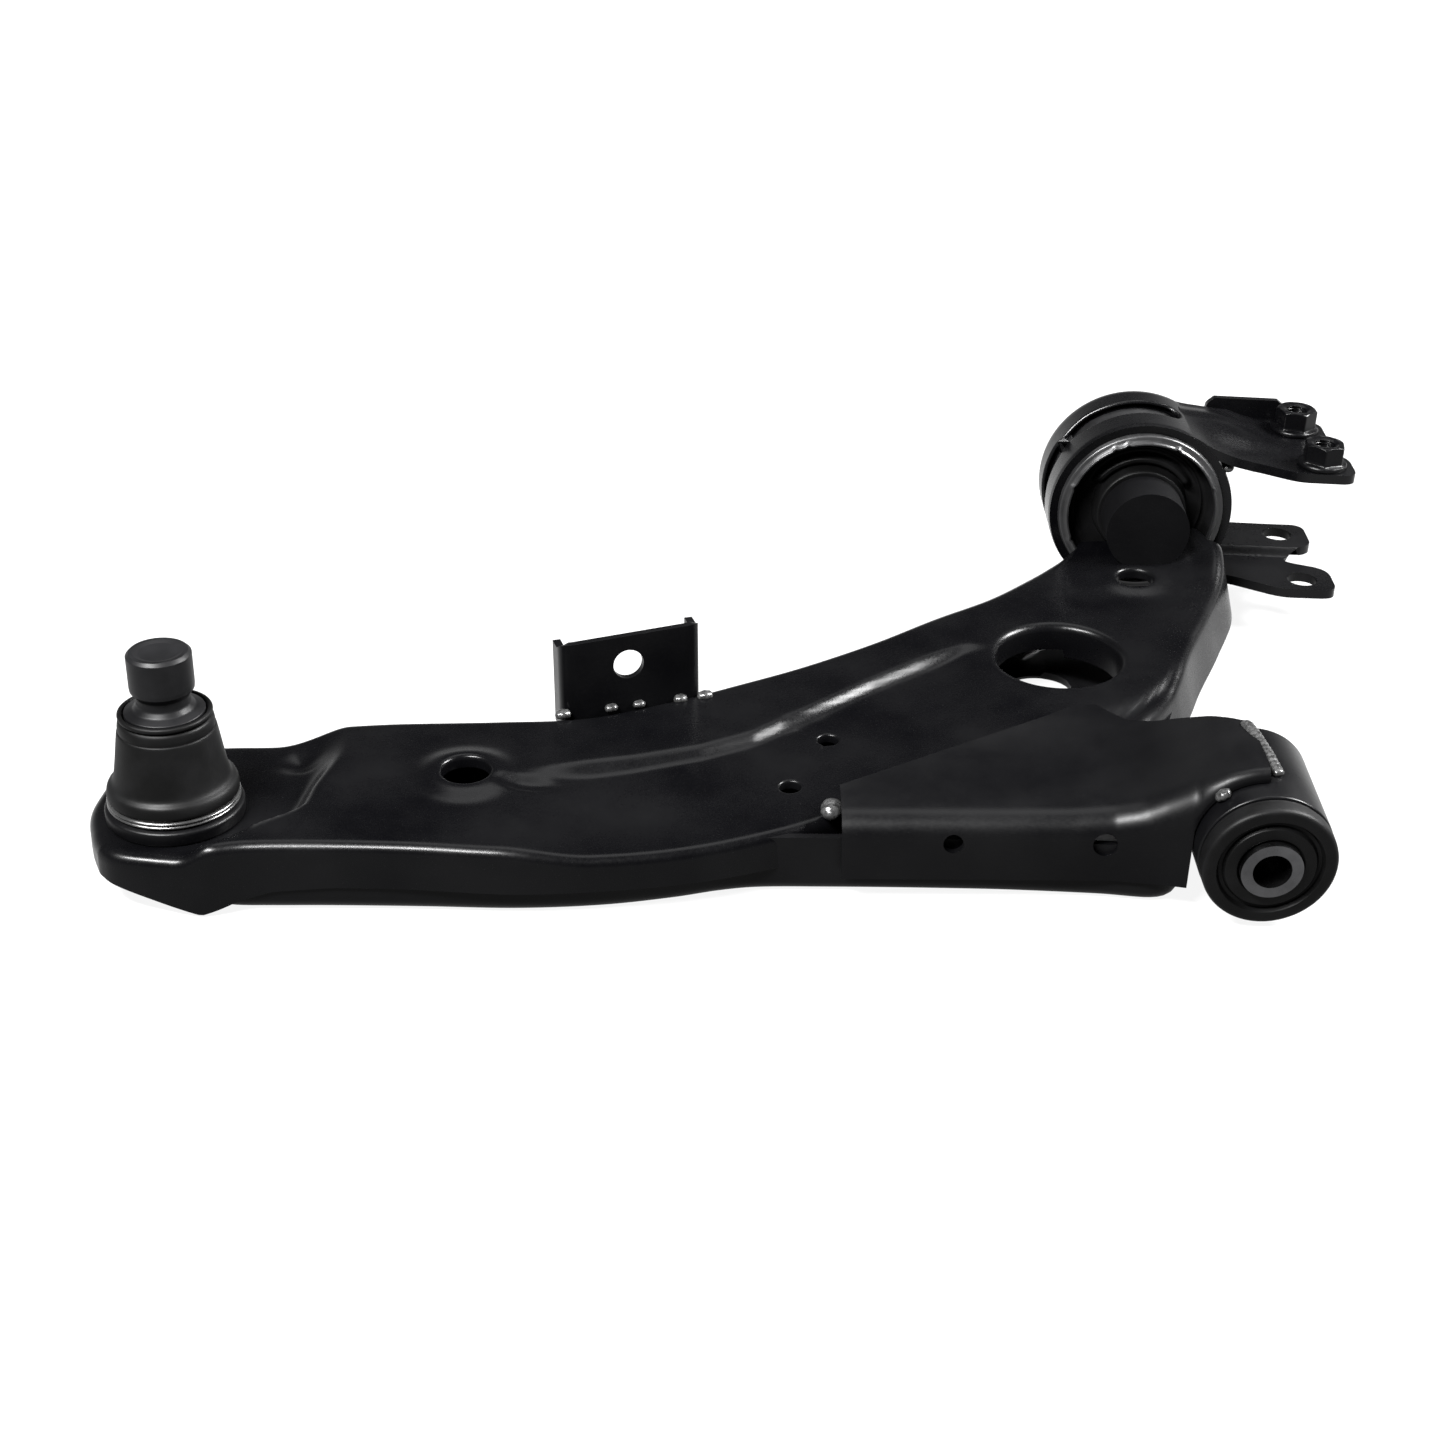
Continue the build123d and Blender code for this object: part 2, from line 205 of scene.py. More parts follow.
def roundedProfile(corners, steps=5):   # (radius, height, corner radius) to points, each corner an arc
    p = np.array([c[:2] for c in corners], float)
    out = [p[0]]
    for k in range(1, len(p) - 1):
        r = corners[k][2]
        a, b = p[k - 1] - p[k], p[k + 1] - p[k]
        la, lb = np.linalg.norm(a), np.linalg.norm(b)
        a, b = a / la, b / lb
        half = math.acos(float(np.clip(a @ b, -1, 1))) / 2
        cut = min(r / max(math.tan(half), 1e-6), la * 0.49, lb * 0.49)
        if r <= 0 or cut < 1e-4:
            out.append(p[k])
            continue
        t = np.linspace(0, 1, steps + 1)[:, None]
        s, e = p[k] + a * cut, p[k] + b * cut
        out.extend((1 - t)**2 * s + 2 * t * (1 - t) * p[k] + t**2 * e)
    out.append(p[-1])
    return np.array(out)


# finishes
def newMaterial(name, color, roughness, metallic=0.0, specular=0.5, coat=0.0):
    material = bpy.data.materials.new(name)
    material.use_nodes = True
    tree = material.node_tree
    shader = tree.nodes["Principled BSDF"]
    shader.inputs["Base Color"].default_value = (*color, 1)
    shader.inputs["Roughness"].default_value = roughness
    shader.inputs["Metallic"].default_value = metallic
    shader.inputs["Specular IOR Level"].default_value = specular
    shader.inputs["Coat Weight"].default_value = coat
    shader.inputs["Coat Roughness"].default_value = 0.25
    place = tree.nodes.new("ShaderNodeTexCoord")
    return material, tree, shader, place.outputs["Object"]


def noise(tree, vector, scale, detail=4, roughness=0.55):
    node = tree.nodes.new("ShaderNodeTexNoise")
    node.inputs["Scale"].default_value = scale
    node.inputs["Detail"].default_value = detail
    node.inputs["Roughness"].default_value = roughness
    tree.links.new(vector, node.inputs["Vector"])
    return node.outputs["Fac"]


def ramp(tree, value, low, high, a, b):   # value from low..high to a..b
    node = tree.nodes.new("ShaderNodeMapRange")
    for name, number in (("From Min", low), ("From Max", high), ("To Min", a), ("To Max", b)):
        node.inputs[name].default_value = number
    tree.links.new(value, node.inputs["Value"])
    return node.outputs["Result"]


def mixColor(tree, factor, a, b):
    node = tree.nodes.new("ShaderNodeMix")
    node.data_type = "RGBA"
    node.inputs["A"].default_value = (*a, 1)
    node.inputs["B"].default_value = (*b, 1)
    tree.links.new(factor, node.inputs["Factor"])
    return node.outputs["Result"]


def stretch(tree, vector, scale, rotation=(0, 0, 0), location=(0, 0, 0)):
    node = tree.nodes.new("ShaderNodeMapping")
    node.inputs["Scale"].default_value = scale
    node.inputs["Rotation"].default_value = rotation
    node.inputs["Location"].default_value = location
    tree.links.new(vector, node.inputs["Vector"])
    return node.outputs["Vector"]


def bump(tree, shader, height, strength, distance, after=None):
    node = tree.nodes.new("ShaderNodeBump")
    node.inputs["Strength"].default_value = strength
    node.inputs["Distance"].default_value = distance
    tree.links.new(height, node.inputs["Height"])
    if after is not None:
        tree.links.new(after, node.inputs["Normal"])
    tree.links.new(node.outputs["Normal"], shader.inputs["Normal"])
    return node.outputs["Normal"]


def dipCoat(name, rough=0.36, seed=0.0, specular=0.06):   # satin black dip coat on pressed steel
    material, tree, shader, place = newMaterial(name, (0.0006, 0.0006, 0.0007), rough, specular=specular)
    moved = stretch(tree, place, (1, 1, 1), location=(seed, seed * 0.7, 0))
    broad = noise(tree, moved, 22, 3)
    fine = noise(tree, moved, 900, 2)
    peel = noise(tree, moved, 260, 2)
    dust = noise(tree, moved, 3200, 1)
    patchy = ramp(tree, broad, 0.35, 0.7, 0, 1)
    film = mixColor(tree, patchy, (0.0003, 0.0003, 0.0004), (0.0009, 0.0009, 0.001))
    speck = tree.nodes.new("ShaderNodeMix")
    speck.data_type = "RGBA"
    speck.inputs["B"].default_value = (0.012, 0.012, 0.012, 1)
    tree.links.new(film, speck.inputs["A"])
    tree.links.new(ramp(tree, dust, 0.74, 0.8, 0, 0.35), speck.inputs["Factor"])
    tree.links.new(speck.outputs["Result"], shader.inputs["Base Color"])
    mixed = tree.nodes.new("ShaderNodeMath")
    mixed.operation = "ADD"
    tree.links.new(ramp(tree, broad, 0.3, 0.7, rough - 0.05, rough + 0.05), mixed.inputs[0])
    tree.links.new(ramp(tree, fine, 0.3, 0.7, -0.03, 0.03), mixed.inputs[1])
    tree.links.new(mixed.outputs["Value"], shader.inputs["Roughness"])
    first = bump(tree, shader, peel, 0.04, 0.0003)
    bump(tree, shader, fine, 0.04, 0.00005, after=first)
    return material


def rubber(name):   # moulded black rubber with a faint bloom
    material, tree, shader, place = newMaterial(name, (0.0007, 0.0007, 0.0007), 0.5, specular=0.05)
    bloom = noise(tree, place, 60, 4)
    grain = noise(tree, place, 1400, 3)
    tree.links.new(mixColor(tree, ramp(tree, bloom, 0.4, 0.75, 0, 1), (0.0005, 0.0005, 0.0005),
                            (0.0013, 0.0013, 0.0014)), shader.inputs["Base Color"])
    tree.links.new(ramp(tree, bloom, 0.3, 0.7, 0.42, 0.58), shader.inputs["Roughness"])
    bump(tree, shader, grain, 0.18, 0.00015)
    return material


def turnedSteel(name, color, rough, centre, axis, specular=0.5, metallic=1.0, rings=3200.0):
    # steel with fine lathe marks: noise over the distance from the axis and the height along it
    material, tree, shader, place = newMaterial(name, color, rough, metallic=metallic, specular=specular)
    a = np.array(axis, float) / np.linalg.norm(axis)
    away = tree.nodes.new("ShaderNodeVectorMath")
    away.operation = "SUBTRACT"
    away.inputs[1].default_value = tuple(np.array(centre) * mm)
    tree.links.new(place, away.inputs[0])
    along = tree.nodes.new("ShaderNodeVectorMath")
    along.operation = "DOT_PRODUCT"
    along.inputs[1].default_value = tuple(a)
    tree.links.new(away.outputs["Vector"], along.inputs[0])
    across = tree.nodes.new("ShaderNodeVectorMath")
    across.operation = "CROSS_PRODUCT"
    across.inputs[1].default_value = tuple(a)
    tree.links.new(away.outputs["Vector"], across.inputs[0])
    radius = tree.nodes.new("ShaderNodeVectorMath")
    radius.operation = "LENGTH"
    tree.links.new(across.outputs["Vector"], radius.inputs[0])
    pair = tree.nodes.new("ShaderNodeCombineXYZ")
    tree.links.new(along.outputs["Value"], pair.inputs["X"])
    tree.links.new(radius.outputs["Value"], pair.inputs["Y"])
    marks = noise(tree, pair.outputs["Vector"], rings, 2)
    patches = noise(tree, place, 90, 4)
    dark = tuple(c * 0.6 for c in color)
    stained = mixColor(tree, ramp(tree, patches, 0.35, 0.7, 0, 1), dark, color)
    tree.links.new(stained, shader.inputs["Base Color"])
    tree.links.new(ramp(tree, patches, 0.3, 0.7, rough - 0.06, rough + 0.08), shader.inputs["Roughness"])
    bump(tree, shader, marks, 0.25, 0.00008)
    return material


def weldMetal(name):   # coated weld bead: ripples are in the mesh, scale and spatter in the finish
    material, tree, shader, place = newMaterial(name, (0.008, 0.008, 0.008), 0.26, specular=0.2)
    scale = noise(tree, place, 500, 5, 0.7)
    tree.links.new(mixColor(tree, ramp(tree, scale, 0.4, 0.7, 0, 1), (0.005, 0.005, 0.005),
                            (0.02, 0.02, 0.02)), shader.inputs["Base Color"])
    tree.links.new(ramp(tree, scale, 0.3, 0.7, 0.16, 0.4), shader.inputs["Roughness"])
    bump(tree, shader, scale, 0.3, 0.0003)
    return material


def mouldedPlastic(name, color, rough):
    material, tree, shader, place = newMaterial(name, color, rough)
    grain = noise(tree, place, 700, 3)
    tree.links.new(ramp(tree, grain, 0.3, 0.7, rough - 0.06, rough + 0.06), shader.inputs["Roughness"])
    bump(tree, shader, grain, 0.12, 0.0001)
    return material


coats = dict(   # roughness, where in the noise the part's pattern lies, specular level
    UpperShell=(0.28, 0.1), LowerShell=(0.42, 0.4), BushCarrier=(0.36, 0.8), BushTube=(0.32, 1.3),
    RearBand=(0.27, 1.9, 0.12), BracketPlates=(0.29, 2.3, 0.12), LinkBracket=(0.33, 2.9),
    ForgedCup=(0.42, 3.3), RearPin=(0.6, 3.7, 0.03), WeldNuts=(0.3, 4.1),
)
coat = {part: dipCoat("dipCoat" + part, *look) for part, look in coats.items()}
bushRubber = rubber("bushRubber")
bootRubber = rubber("bootRubber")
sleeveSteel = turnedSteel("sleeveBareSteel", (0.06, 0.06, 0.062), 0.26, (0, 0, 0), bushAxis, rings=2600.0)
studSteel = turnedSteel("studPhosphatedSteel", (0.002, 0.002, 0.0022), 0.42, ballCentre, (0, 0, 1),
                        specular=0.07, metallic=0.08, rings=1800.0)
canSteel = turnedSteel("canCoatedSteel", (0.012, 0.012, 0.0125), 0.36, rearCentre, (0, 1, 0), metallic=0.6)
ringSteel = turnedSteel("bootRingSteel", (0.05, 0.05, 0.05), 0.28, ballCentre, (0, 0, 1), metallic=0.8)
weldBlack = weldMetal("coatedWeld")
seatPlastic = mouldedPlastic("ballSeatPlastic", (0.55, 0.53, 0.48), 0.45)


def paint(piece, material):
    piece.data.materials.clear()
    piece.data.materials.append(material)
    return piece


def fit(piece, material, body, node):   # finish, body and replaced node of a new piece
    paint(piece, material)
    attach(piece, body)
    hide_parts(node)


keptNodes = dict(ball_seat=seatPlastic, ball_joint_cover=coat["ForgedCup"], rear_spigot=coat["RearPin"],
                 spigot_washer=canSteel, rear_bush_inner_sleeve=canSteel, front_bush_outer_ring=canSteel,
                 front_bush_inner_sleeve=sleeveSteel)
for name, material in keptNodes.items():
    for slot in nodes[name].material_slots:
        slot.material = material
print("finishes ready")


# upper shell
upperShell = dict(
    sheet=2.6, bend=4.0, lines=310, rows=58, topZ=1.4, legZ=7.0, nose=-5.5,
    lowerEdge=-16.5, hemDip=-25.4, rearHem=-19.5,
    bead=[(-300, 24), (-240, 29), (-202, 38), (-180, 45.5), (-162, 55.5), (-150, 66), (-137, 77.5),
          (-119, 93.5), (-100, 108.5), (-84, 119.5)],
    beadDrop=3.5, groove=[(-46, 62), (-31, 70), (-22, 80), (-14, 91), (-8, 104)],
    front=[(-371.5, -6), (-367, -9.6), (-356.7, -12.1), (-340.3, -14), (-326, -11.8),
           (-304, -11.4), (-274, -12.4), (-239, -15.6), (-207, -13.2), (-179, -7.6), (-153, 2),
           (-130, 13.5), (-100, 24), (-70, 33), (-46, 45),
           (-28, 67), (-15, 91), (-4, 122), (7, 150), (16, 177), (18.5, 203.8)],
    rear=[(-377, 36), (-372, 47), (-360, 55.5), (-344, 57.5), (-328, 58), (-310, 59.5), (-286, 62),
          (-250, 63.5), (-219, 66), (-190, 77.5), (-166, 90), (-142, 103.5), (-116, 121), (-92, 140),
          (-70, 156), (-53, 172.5),
          (-44, 182.5), (-38, 190), (-34, 196), (-31, 200.5), (-29.5, 204)],
    nosePath=[(-371.5, -6), (-375.5, 4), (-378.6, 18), (-377, 36)],
    holes=[(-50.5, 113, 22.5, 3.0, 13), (-258.4, 28.8, 8.2, 1.6, 5), (-14.8, 173, 7.0, 1.4, 4.5),
           (-136.2, 58.4, 3.7, 0.7, 3), (-150, 26.2, 3.7, 0.7, 3)],
)


def rails(front, rear, lines):
    # two rails point by point, resampled so that their midline is walked at an even pace
    f, r = alongSpans(front, 24), alongSpans(rear, 24)
    d = runLength((f + r) / 2)
    s = np.linspace(0, d[-1], lines)
    pick = lambda p: np.stack([np.interp(s, d, p[:, k]) for k in (0, 1)], 1)
    return pick(f), pick(r)


def noseStep(x, y):
    # 0 at the foot of the step round the seat, 1 at its top: the foot's radius and the step's width change with
    # the direction from the ball
    dx, dy = x - ballCentre[0], y - ballCentre[1]
    turn = np.arctan2(dy, dx)
    radius = 36 + 16 * ease(turn, -0.3, 1.3) - 8 * ease(-turn, 0, 0.6)
    width = 8 + 16 * ease(turn, 0.15, 0.85) - 3.5 * ease(-turn, 0, 0.4)
    return np.where(dx > -5, (np.hypot(dx, dy) - radius) / width, -5)


def stepLine(x, y, points):   # signed distance in Y from a line given by its points, left to right
    px, py = np.array(points, float).T
    return y - np.interp(x, px, py)


def upperHeight(x, y):
    # leg slope, less the step from the bead line to the front web and the dents and grooves, plus the raised
    # drain holes, mixed with the lowered nose seat and with the leg's rolled end
    p = upperShell
    z = p["topZ"] + (p["legZ"] - p["topZ"]) * np.clip((y - 60) / 144, 0, 1.1)
    step = p["beadDrop"] * ease(-stepLine(x, y, p["bead"]), -4.3, 3.4)
    step = step * ease(x, -246, -214) * ease(-x, 66, 100)
    z = z - step - (0.7 * ease(x, -240, -200) + 1.9 * ease(-x, 120, 200)) * ease(-y, -40, 0)
    dent = np.hypot((x + 238) / 12, (y - 24) / 4.6)
    z = z - 1.6 * ease(-dent, -1.2, 0)
    dimple = np.hypot(x + 258.4, y - 28.8)
    z = z + 2.0 * ease(-dimple, -19.5, -10.5)
    lip = np.hypot(x + 14.8, y - 173)
    crease = np.hypot((x + 12) / 20, (y - 187) / 3.2)
    z = z + 1.1 * ease(-lip, -15, -8.5) - 1.2 * ease(-crease, -1.3, 0)
    hollow = np.hypot((x + 22) / 34, (y - 158) / 9)
    z = z - 1.0 * ease(-hollow, -1.3, 0)
    groove = stepLine(x, y, p["groove"])
    z = z - 2.2 * ease(-np.abs(groove), -7, 0) * ease(x, -46, -36) * ease(-x, 6, 12)
    z = p["nose"] + (z - p["nose"]) * ease(noseStep(x, y), 0, 1)
    pocket = np.hypot((x + 317) / 8, (y - 47.5) / 7)
    z = z - 1.8 * ease(-pocket, -1.3, 0)
    rim = 8 + 10 * ease(x, 0, 17)
    z = z + (rim - z) * ease(y, 184, 205) * ease(-np.abs(x - rearCentre[0]), -30, -16)
    z = z + 5.5 * ease(x, 8, 19) * ease(y, 160, 190) * ease(-y, -206, -190)
    return z + 0.12 * waves(x, y, 0, 3, 22)


def openHoles(grid, holes):
    # Each hole (x, y, radius, lip, depth, half length if it is a slot): the block of grid points round its
    # middle line is pressed onto rings of a rolled lip, from the outer ring inwards; points outside ease back.
    nu, nv = grid.shape[:2]
    i, j = np.meshgrid(np.arange(nu), np.arange(nv), indexing="ij")
    faces = np.ones((nu - 1, nv - 1), bool)
    drop = np.zeros((nu, nv))
    fromEdge = np.minimum(np.minimum(j, nv - 1 - j), np.minimum(i, nu - 1 - i))
    hold = ease(fromEdge, 0, 6)   # 0 on the grid's edges
    for x, y, radius, lip, depth, *more in holes:
        half = more[0] if more else 0
        away = np.hypot(grid[..., 0] - x, grid[..., 1] - y)
        ic, jc = np.unravel_index(np.argmin(away), away.shape)
        du = np.linalg.norm(grid[ic + 1, jc, :2] - grid[ic - 1, jc, :2]) / 2
        dv = np.linalg.norm(grid[ic, jc + 1, :2] - grid[ic, jc - 1, :2]) / 2
        levels = max(5, round((radius + lip) / max(du, dv) * 1.1))
        ni, nj = round(levels * max(du, dv) / du), round(levels * max(du, dv) / dv)
        ni = min(ni, ic - 3, nu - 4 - ic)   # never as far as the grid's edges
        nj = min(nj, jc - 3, nv - 4 - jc)
        deep = max(ni, nj)
        rings = min(6, 0.6 * deep)
        middle = np.clip(i - ic, -round(half / du), round(half / du))
        m = np.maximum(np.abs(i - ic - middle) / ni, np.abs(j - jc) / nj)
        qx = grid[..., 0] - x
        core = np.clip(qx, -half, half)
        qx, qy = qx - core, grid[..., 1] - y
        long = np.maximum(np.hypot(qx, qy), 1e-6)
        inner = 1 - np.clip((1 - m) * deep / rings, 0, 1)   # 1 at the lip's start, 0 at its bottom
        bend = np.clip((1 - inner) / 0.7, 0, 1) * np.pi / 2
        lipRadius = radius + lip * (1 - np.sin(bend))
        back = ease(m, 1, 2.3)
        outside = (radius + lip) * (1 - back) + long * back
        outside = np.maximum(outside, (radius + lip) * (1 + 0.08 * (m - 1)))
        outside = outside * hold + long * (1 - hold)
        target = np.where(m <= 1, lipRadius, outside)
        near = m < 2.3
        grid[..., 0] = np.where(near, x + core + qx / long * target, grid[..., 0])
        grid[..., 1] = np.where(near, y + qy / long * target, grid[..., 1])
        sink = lip * (1 - np.cos(bend)) + (depth - lip) * np.clip((0.3 - inner) / 0.3, 0, 1)
        drop = np.where(m < 1, sink, drop)
        mid = np.minimum(np.minimum(m[1:, 1:], m[:-1, 1:]), np.minimum(m[1:, :-1], m[:-1, :-1]))
        faces &= (1 - mid) * deep / rings <= 1.001
    return grid, drop, faces


def skirt(path, heights, lowZ, bend, draft, rings=7, straight=7):
    # wall that bends down from a path: a quarter arc, then straight to lowZ, leaning out by the draft angle
    side = sideways(path)
    a = np.linspace(0, 1, rings + 1)[None, :] * (np.pi / 2 - draft[:, None])
    out, down = bend * np.sin(a), bend * (1 - np.cos(a))
    fall = heights - down[:, -1] - lowZ
    k = np.linspace(0, 1, straight + 1)[None, 1:]
    out = np.hstack([out, out[:, -1:] + k * (fall * np.tan(draft))[:, None]])
    z = heights[:, None] - np.hstack([down, down[:, -1:] + k * fall[:, None]])
    plan = path[:, None] + side[:, None] * out[..., None]
    return np.dstack([plan, z])


def tray(front, rear, left, rows):
    # flat grid between two rails whose left end is drawn out to a third path
    t = np.linspace(0, 1, rows)
    grid = front[:, None] + (rear - front)[:, None] * t[None, :, None]
    bulge = evenly(alongSpans(left, 30), rows) - grid[0]
    fade = ease(-np.arange(len(front)), -14, 0)
    return grid + fade[:, None, None] * bulge[None]


def trayPiece(name, top, wall, keep, flipZ=1):   # the tray's bottom and the wall round it as one open sheet
    faces = gridFaces(*top.shape[:2], keep=keep)
    faces += gridFaces(*wall.shape[:2], start=top.shape[0] * top.shape[1], flip=True)
    points = np.vstack([top.reshape(-1, 3), wall.reshape(-1, 3)]) * [1, 1, flipZ]
    return turnFaces(newPiece(name, points, faces), upwards)


def makeUpperShell():
    p = upperShell
    front, rear = rails(p["front"], p["rear"], p["lines"])
    plan = tray(front, rear, p["nosePath"], p["rows"])
    edge = np.vstack([plan[::-1, 0], plan[0, 1:-1], plan[:, -1]])
    plan, drop, keep = openHoles(plan, p["holes"] + [(ballCentre[0], ballCentre[1], 19.7, 1.2, 4)])
    top = np.dstack([plan, upperHeight(plan[..., 0], plan[..., 1]) - drop])
    z = upperHeight(edge[:, 0], edge[:, 1])
    rearSide = np.arange(len(edge)) > len(edge) // 2
    dip = np.interp(edge[:, 0], [-384, -372, -341, -331, -318, -298],
                    [-12, -15.5, p["hemDip"], -21.5, -18, p["lowerEdge"]])
    hem = np.where(rearSide, np.maximum(dip, p["rearHem"]), dip)
    hem = hem + 1.5 * ease(edge[:, 1], 80, 180) * ~rearSide
    draft = np.radians(11.5) * ease(edge[:, 1], 55, 90) * ~rearSide + np.radians(1.0)
    wall = skirt(edge, z, hem, p["bend"], draft)
    return sheetMetal(trayPiece("upperShellPressing", top, wall, keep), p["sheet"])


fit(makeUpperShell(), coat["UpperShell"], "arm", "upper_shell")
print("upper shell made")


# lower shell
lowerShell = dict(
    sheet=2.6, bend=5.0, lines=250, rows=44, bottom=-26.0, rim=-5.0, noseRim=-10.0,
    holes=[(-54, 138, 12.5, 1.5, 3.5), (-150, 26.2, 6, 1.2, 2.5), (-230, 20, 12, 2.0, 4)],
    nosePath=[(-337, -7), (-338, 10), (-338, 30), (-337, 47)],
    front=[(-337, -7), (-331, -9.4), (-318, -9.7), (-300, -9.7), (-270, -10.3), (-239, -11.3), (-212, -9.4),
           (-190, -5), (-174, -0.4), (-160, 1.8), (-137, 1.8), (-104, 1), (-78, 0), (-50, -2.3), (-31, -4.5),
           (-27, 4), (-26, 20), (-27.5, 36), (-27, 55), (-20.5, 78), (-10, 112), (1, 146), (8, 178), (10, 196)],
    rear=[(-337, 47), (-331, 50), (-320, 50.5), (-306, 51), (-280, 52), (-250, 53), (-225, 56), (-207, 62),
          (-190, 70), (-178, 76.5), (-160, 86), (-142, 96), (-124, 108), (-108, 119), (-94, 130), (-84, 138),
          (-74, 145), (-66, 151.5), (-58, 158.5), (-50, 167), (-42, 177), (-36, 186), (-31, 192), (-28, 196)],
)


def makeLowerShell():
    # the same tray turned over: worked out with up and down swapped, then mirrored in Z
    p = lowerShell
    front, rear = rails(p["front"], p["rear"], p["lines"])
    plan = tray(front, rear, p["nosePath"], p["rows"])
    edge = np.vstack([plan[::-1, 0], plan[0, 1:-1], plan[:, -1]])
    plan, drop, keep = openHoles(plan, p["holes"])
    level = lambda x, y: -p["bottom"] - 0.1 + 0.1 * waves(x, y, 0 * x, 8, 30)
    top = np.dstack([plan, level(plan[..., 0], plan[..., 1]) - drop])
    rim = np.interp(edge[:, 0], [-312, -292], [p["noseRim"], p["rim"]])
    draft = np.full(len(edge), np.radians(0.6))
    wall = skirt(edge, level(edge[:, 0], edge[:, 1]), -rim, p["bend"], draft)
    piece = trayPiece("lowerShellPressing", top, wall, keep, flipZ=-1)
    piece.data.flip_normals()
    return sheetMetal(piece, p["sheet"])


fit(makeLowerShell(), coat["LowerShell"], "arm", "lower_shell")
print("lower shell made")


# bush carrier
bushCarrier = dict(
    sheet=2.8, bend=9.0, lines=150, tubeRadius=22.2, footZ=-17.5, wallHoles=[(-98, 3.3), (-49, 4.0)],
    front=[(-134, -8.5), (-46, -9.5), (-30, -12.2), (-22, -14.2), (-3, -13.6), (1, -13.5)],
    rear=[(-134, 14.5), (-52, 68.2), (-49.5, 69.0), (-43.5, 68.0), (-40, 61), (-35, 51.5), (-28, 43.5), (-18, 36),
          (-8, 29), (-2, 24.5), (1, 23.5)],
    climb=[(-134, 4.8), (-90, 5.0), (-60, 5.2), (-46, 6.2), (-36, 9.0), (-27, 14.2), (-19, 19.2), (-11, 23.2),
           (-4, 25.0), (1, 25.3)],
)


def makeCarrier():
    # cross sections at each X: up the front wall, round the bend, and flat to the rear edge; the wall's foot
    # climbs over the tube, and the top rises with it
    p = bushCarrier
    x = np.linspace(p["front"][0][0], p["front"][-1][0], p["lines"])
    table = {k: np.array(p[k], float).T for k in ("front", "rear", "climb")}
    yf, yr, zt = (np.interp(x, *table[k]) for k in ("front", "rear", "climb"))
    smooth = np.hanning(9) / np.hanning(9).sum()
    zt = np.convolve(np.pad(zt, 4, "edge"), smooth, "valid")
    overTube = np.sqrt(np.clip(p["tubeRadius"]**2 - x**2, 0, None)) - 1
    foot = np.where(x < -p["tubeRadius"], p["footZ"], overTube)
    bend = np.minimum(p["bend"], 0.8 * (zt - foot))
    a = np.linspace(0, np.pi / 2, 9)[None]
    k = np.linspace(0, 1, 9)[None, :-1]
    wallY, wallZ = yf[:, None] + 0 * k, foot[:, None] + k * (zt - bend - foot)[:, None]
    arcY = yf[:, None] + bend[:, None] * (1 - np.cos(a))
    arcZ = (zt - bend)[:, None] + bend[:, None] * np.sin(a)
    k = np.linspace(0, 1, 27)[None, 1:]
    topY = arcY[:, -1:] + k * (yr - yf - bend)[:, None]
    crown = 0.5 * np.sin(np.pi * k) * ease(-x, -20, 60)[:, None]
    topZ = zt[:, None] + crown - 1.4 * (k**2) * ease(x, -40, -12)[:, None]
    y, z = np.hstack([wallY, arcY, topY]), np.hstack([wallZ, arcZ, topZ])
    grid = np.dstack([np.broadcast_to(x[:, None], y.shape), y, z + 0.08 * waves(x[:, None], y, z, 12, 18)])
    piece = turnFaces(gridPiece("bushCarrierPressing", grid), upwards)
    for holeX, radius in p["wallHoles"]:
        cutHole(piece, (holeX, -9, -4.2), (0, 1, 0), radius, 14)
    return sheetMetal(piece, p["sheet"], edge=0.6)


def cutHole(piece, centre, axis, radius, length):
    # round hole: a turned cutter taken away by a boolean that is applied at once, and what lies inside it too
    profile = [(0, -length / 2), (radius, -length / 2), (radius, length / 2), (0, length / 2)]
    cutter = turnedPiece("cutter", profile, centre, axis, 48)
    cut = piece.modifiers.new("hole", "BOOLEAN")
    cut.object = cutter
    cut.solver = "EXACT"
    graph = bpy.context.evaluated_depsgraph_get()
    done = bpy.data.meshes.new_from_object(piece.evaluated_get(graph))
    piece.modifiers.remove(cut)
    bpy.data.objects.remove(cutter)
    bm = bmesh.new()
    bm.from_mesh(done)
    middle, along = Vector(tuple(np.array(centre) * mm)), Vector(tuple(axis)).normalized()
    away = lambda v: (v.co - middle).cross(along).length
    near = lambda v: abs((v.co - middle).dot(along)) < (length / 2 + 0.1) * mm
    within = lambda v: away(v) < (radius + 0.02) * mm and near(v)
    inside = [f for f in bm.faces if all(within(v) for v in f.verts)]
    bmesh.ops.delete(bm, geom=inside, context="FACES")
    bm.to_mesh(done)
    bm.free()
    done.name = piece.data.name
    piece.data = done


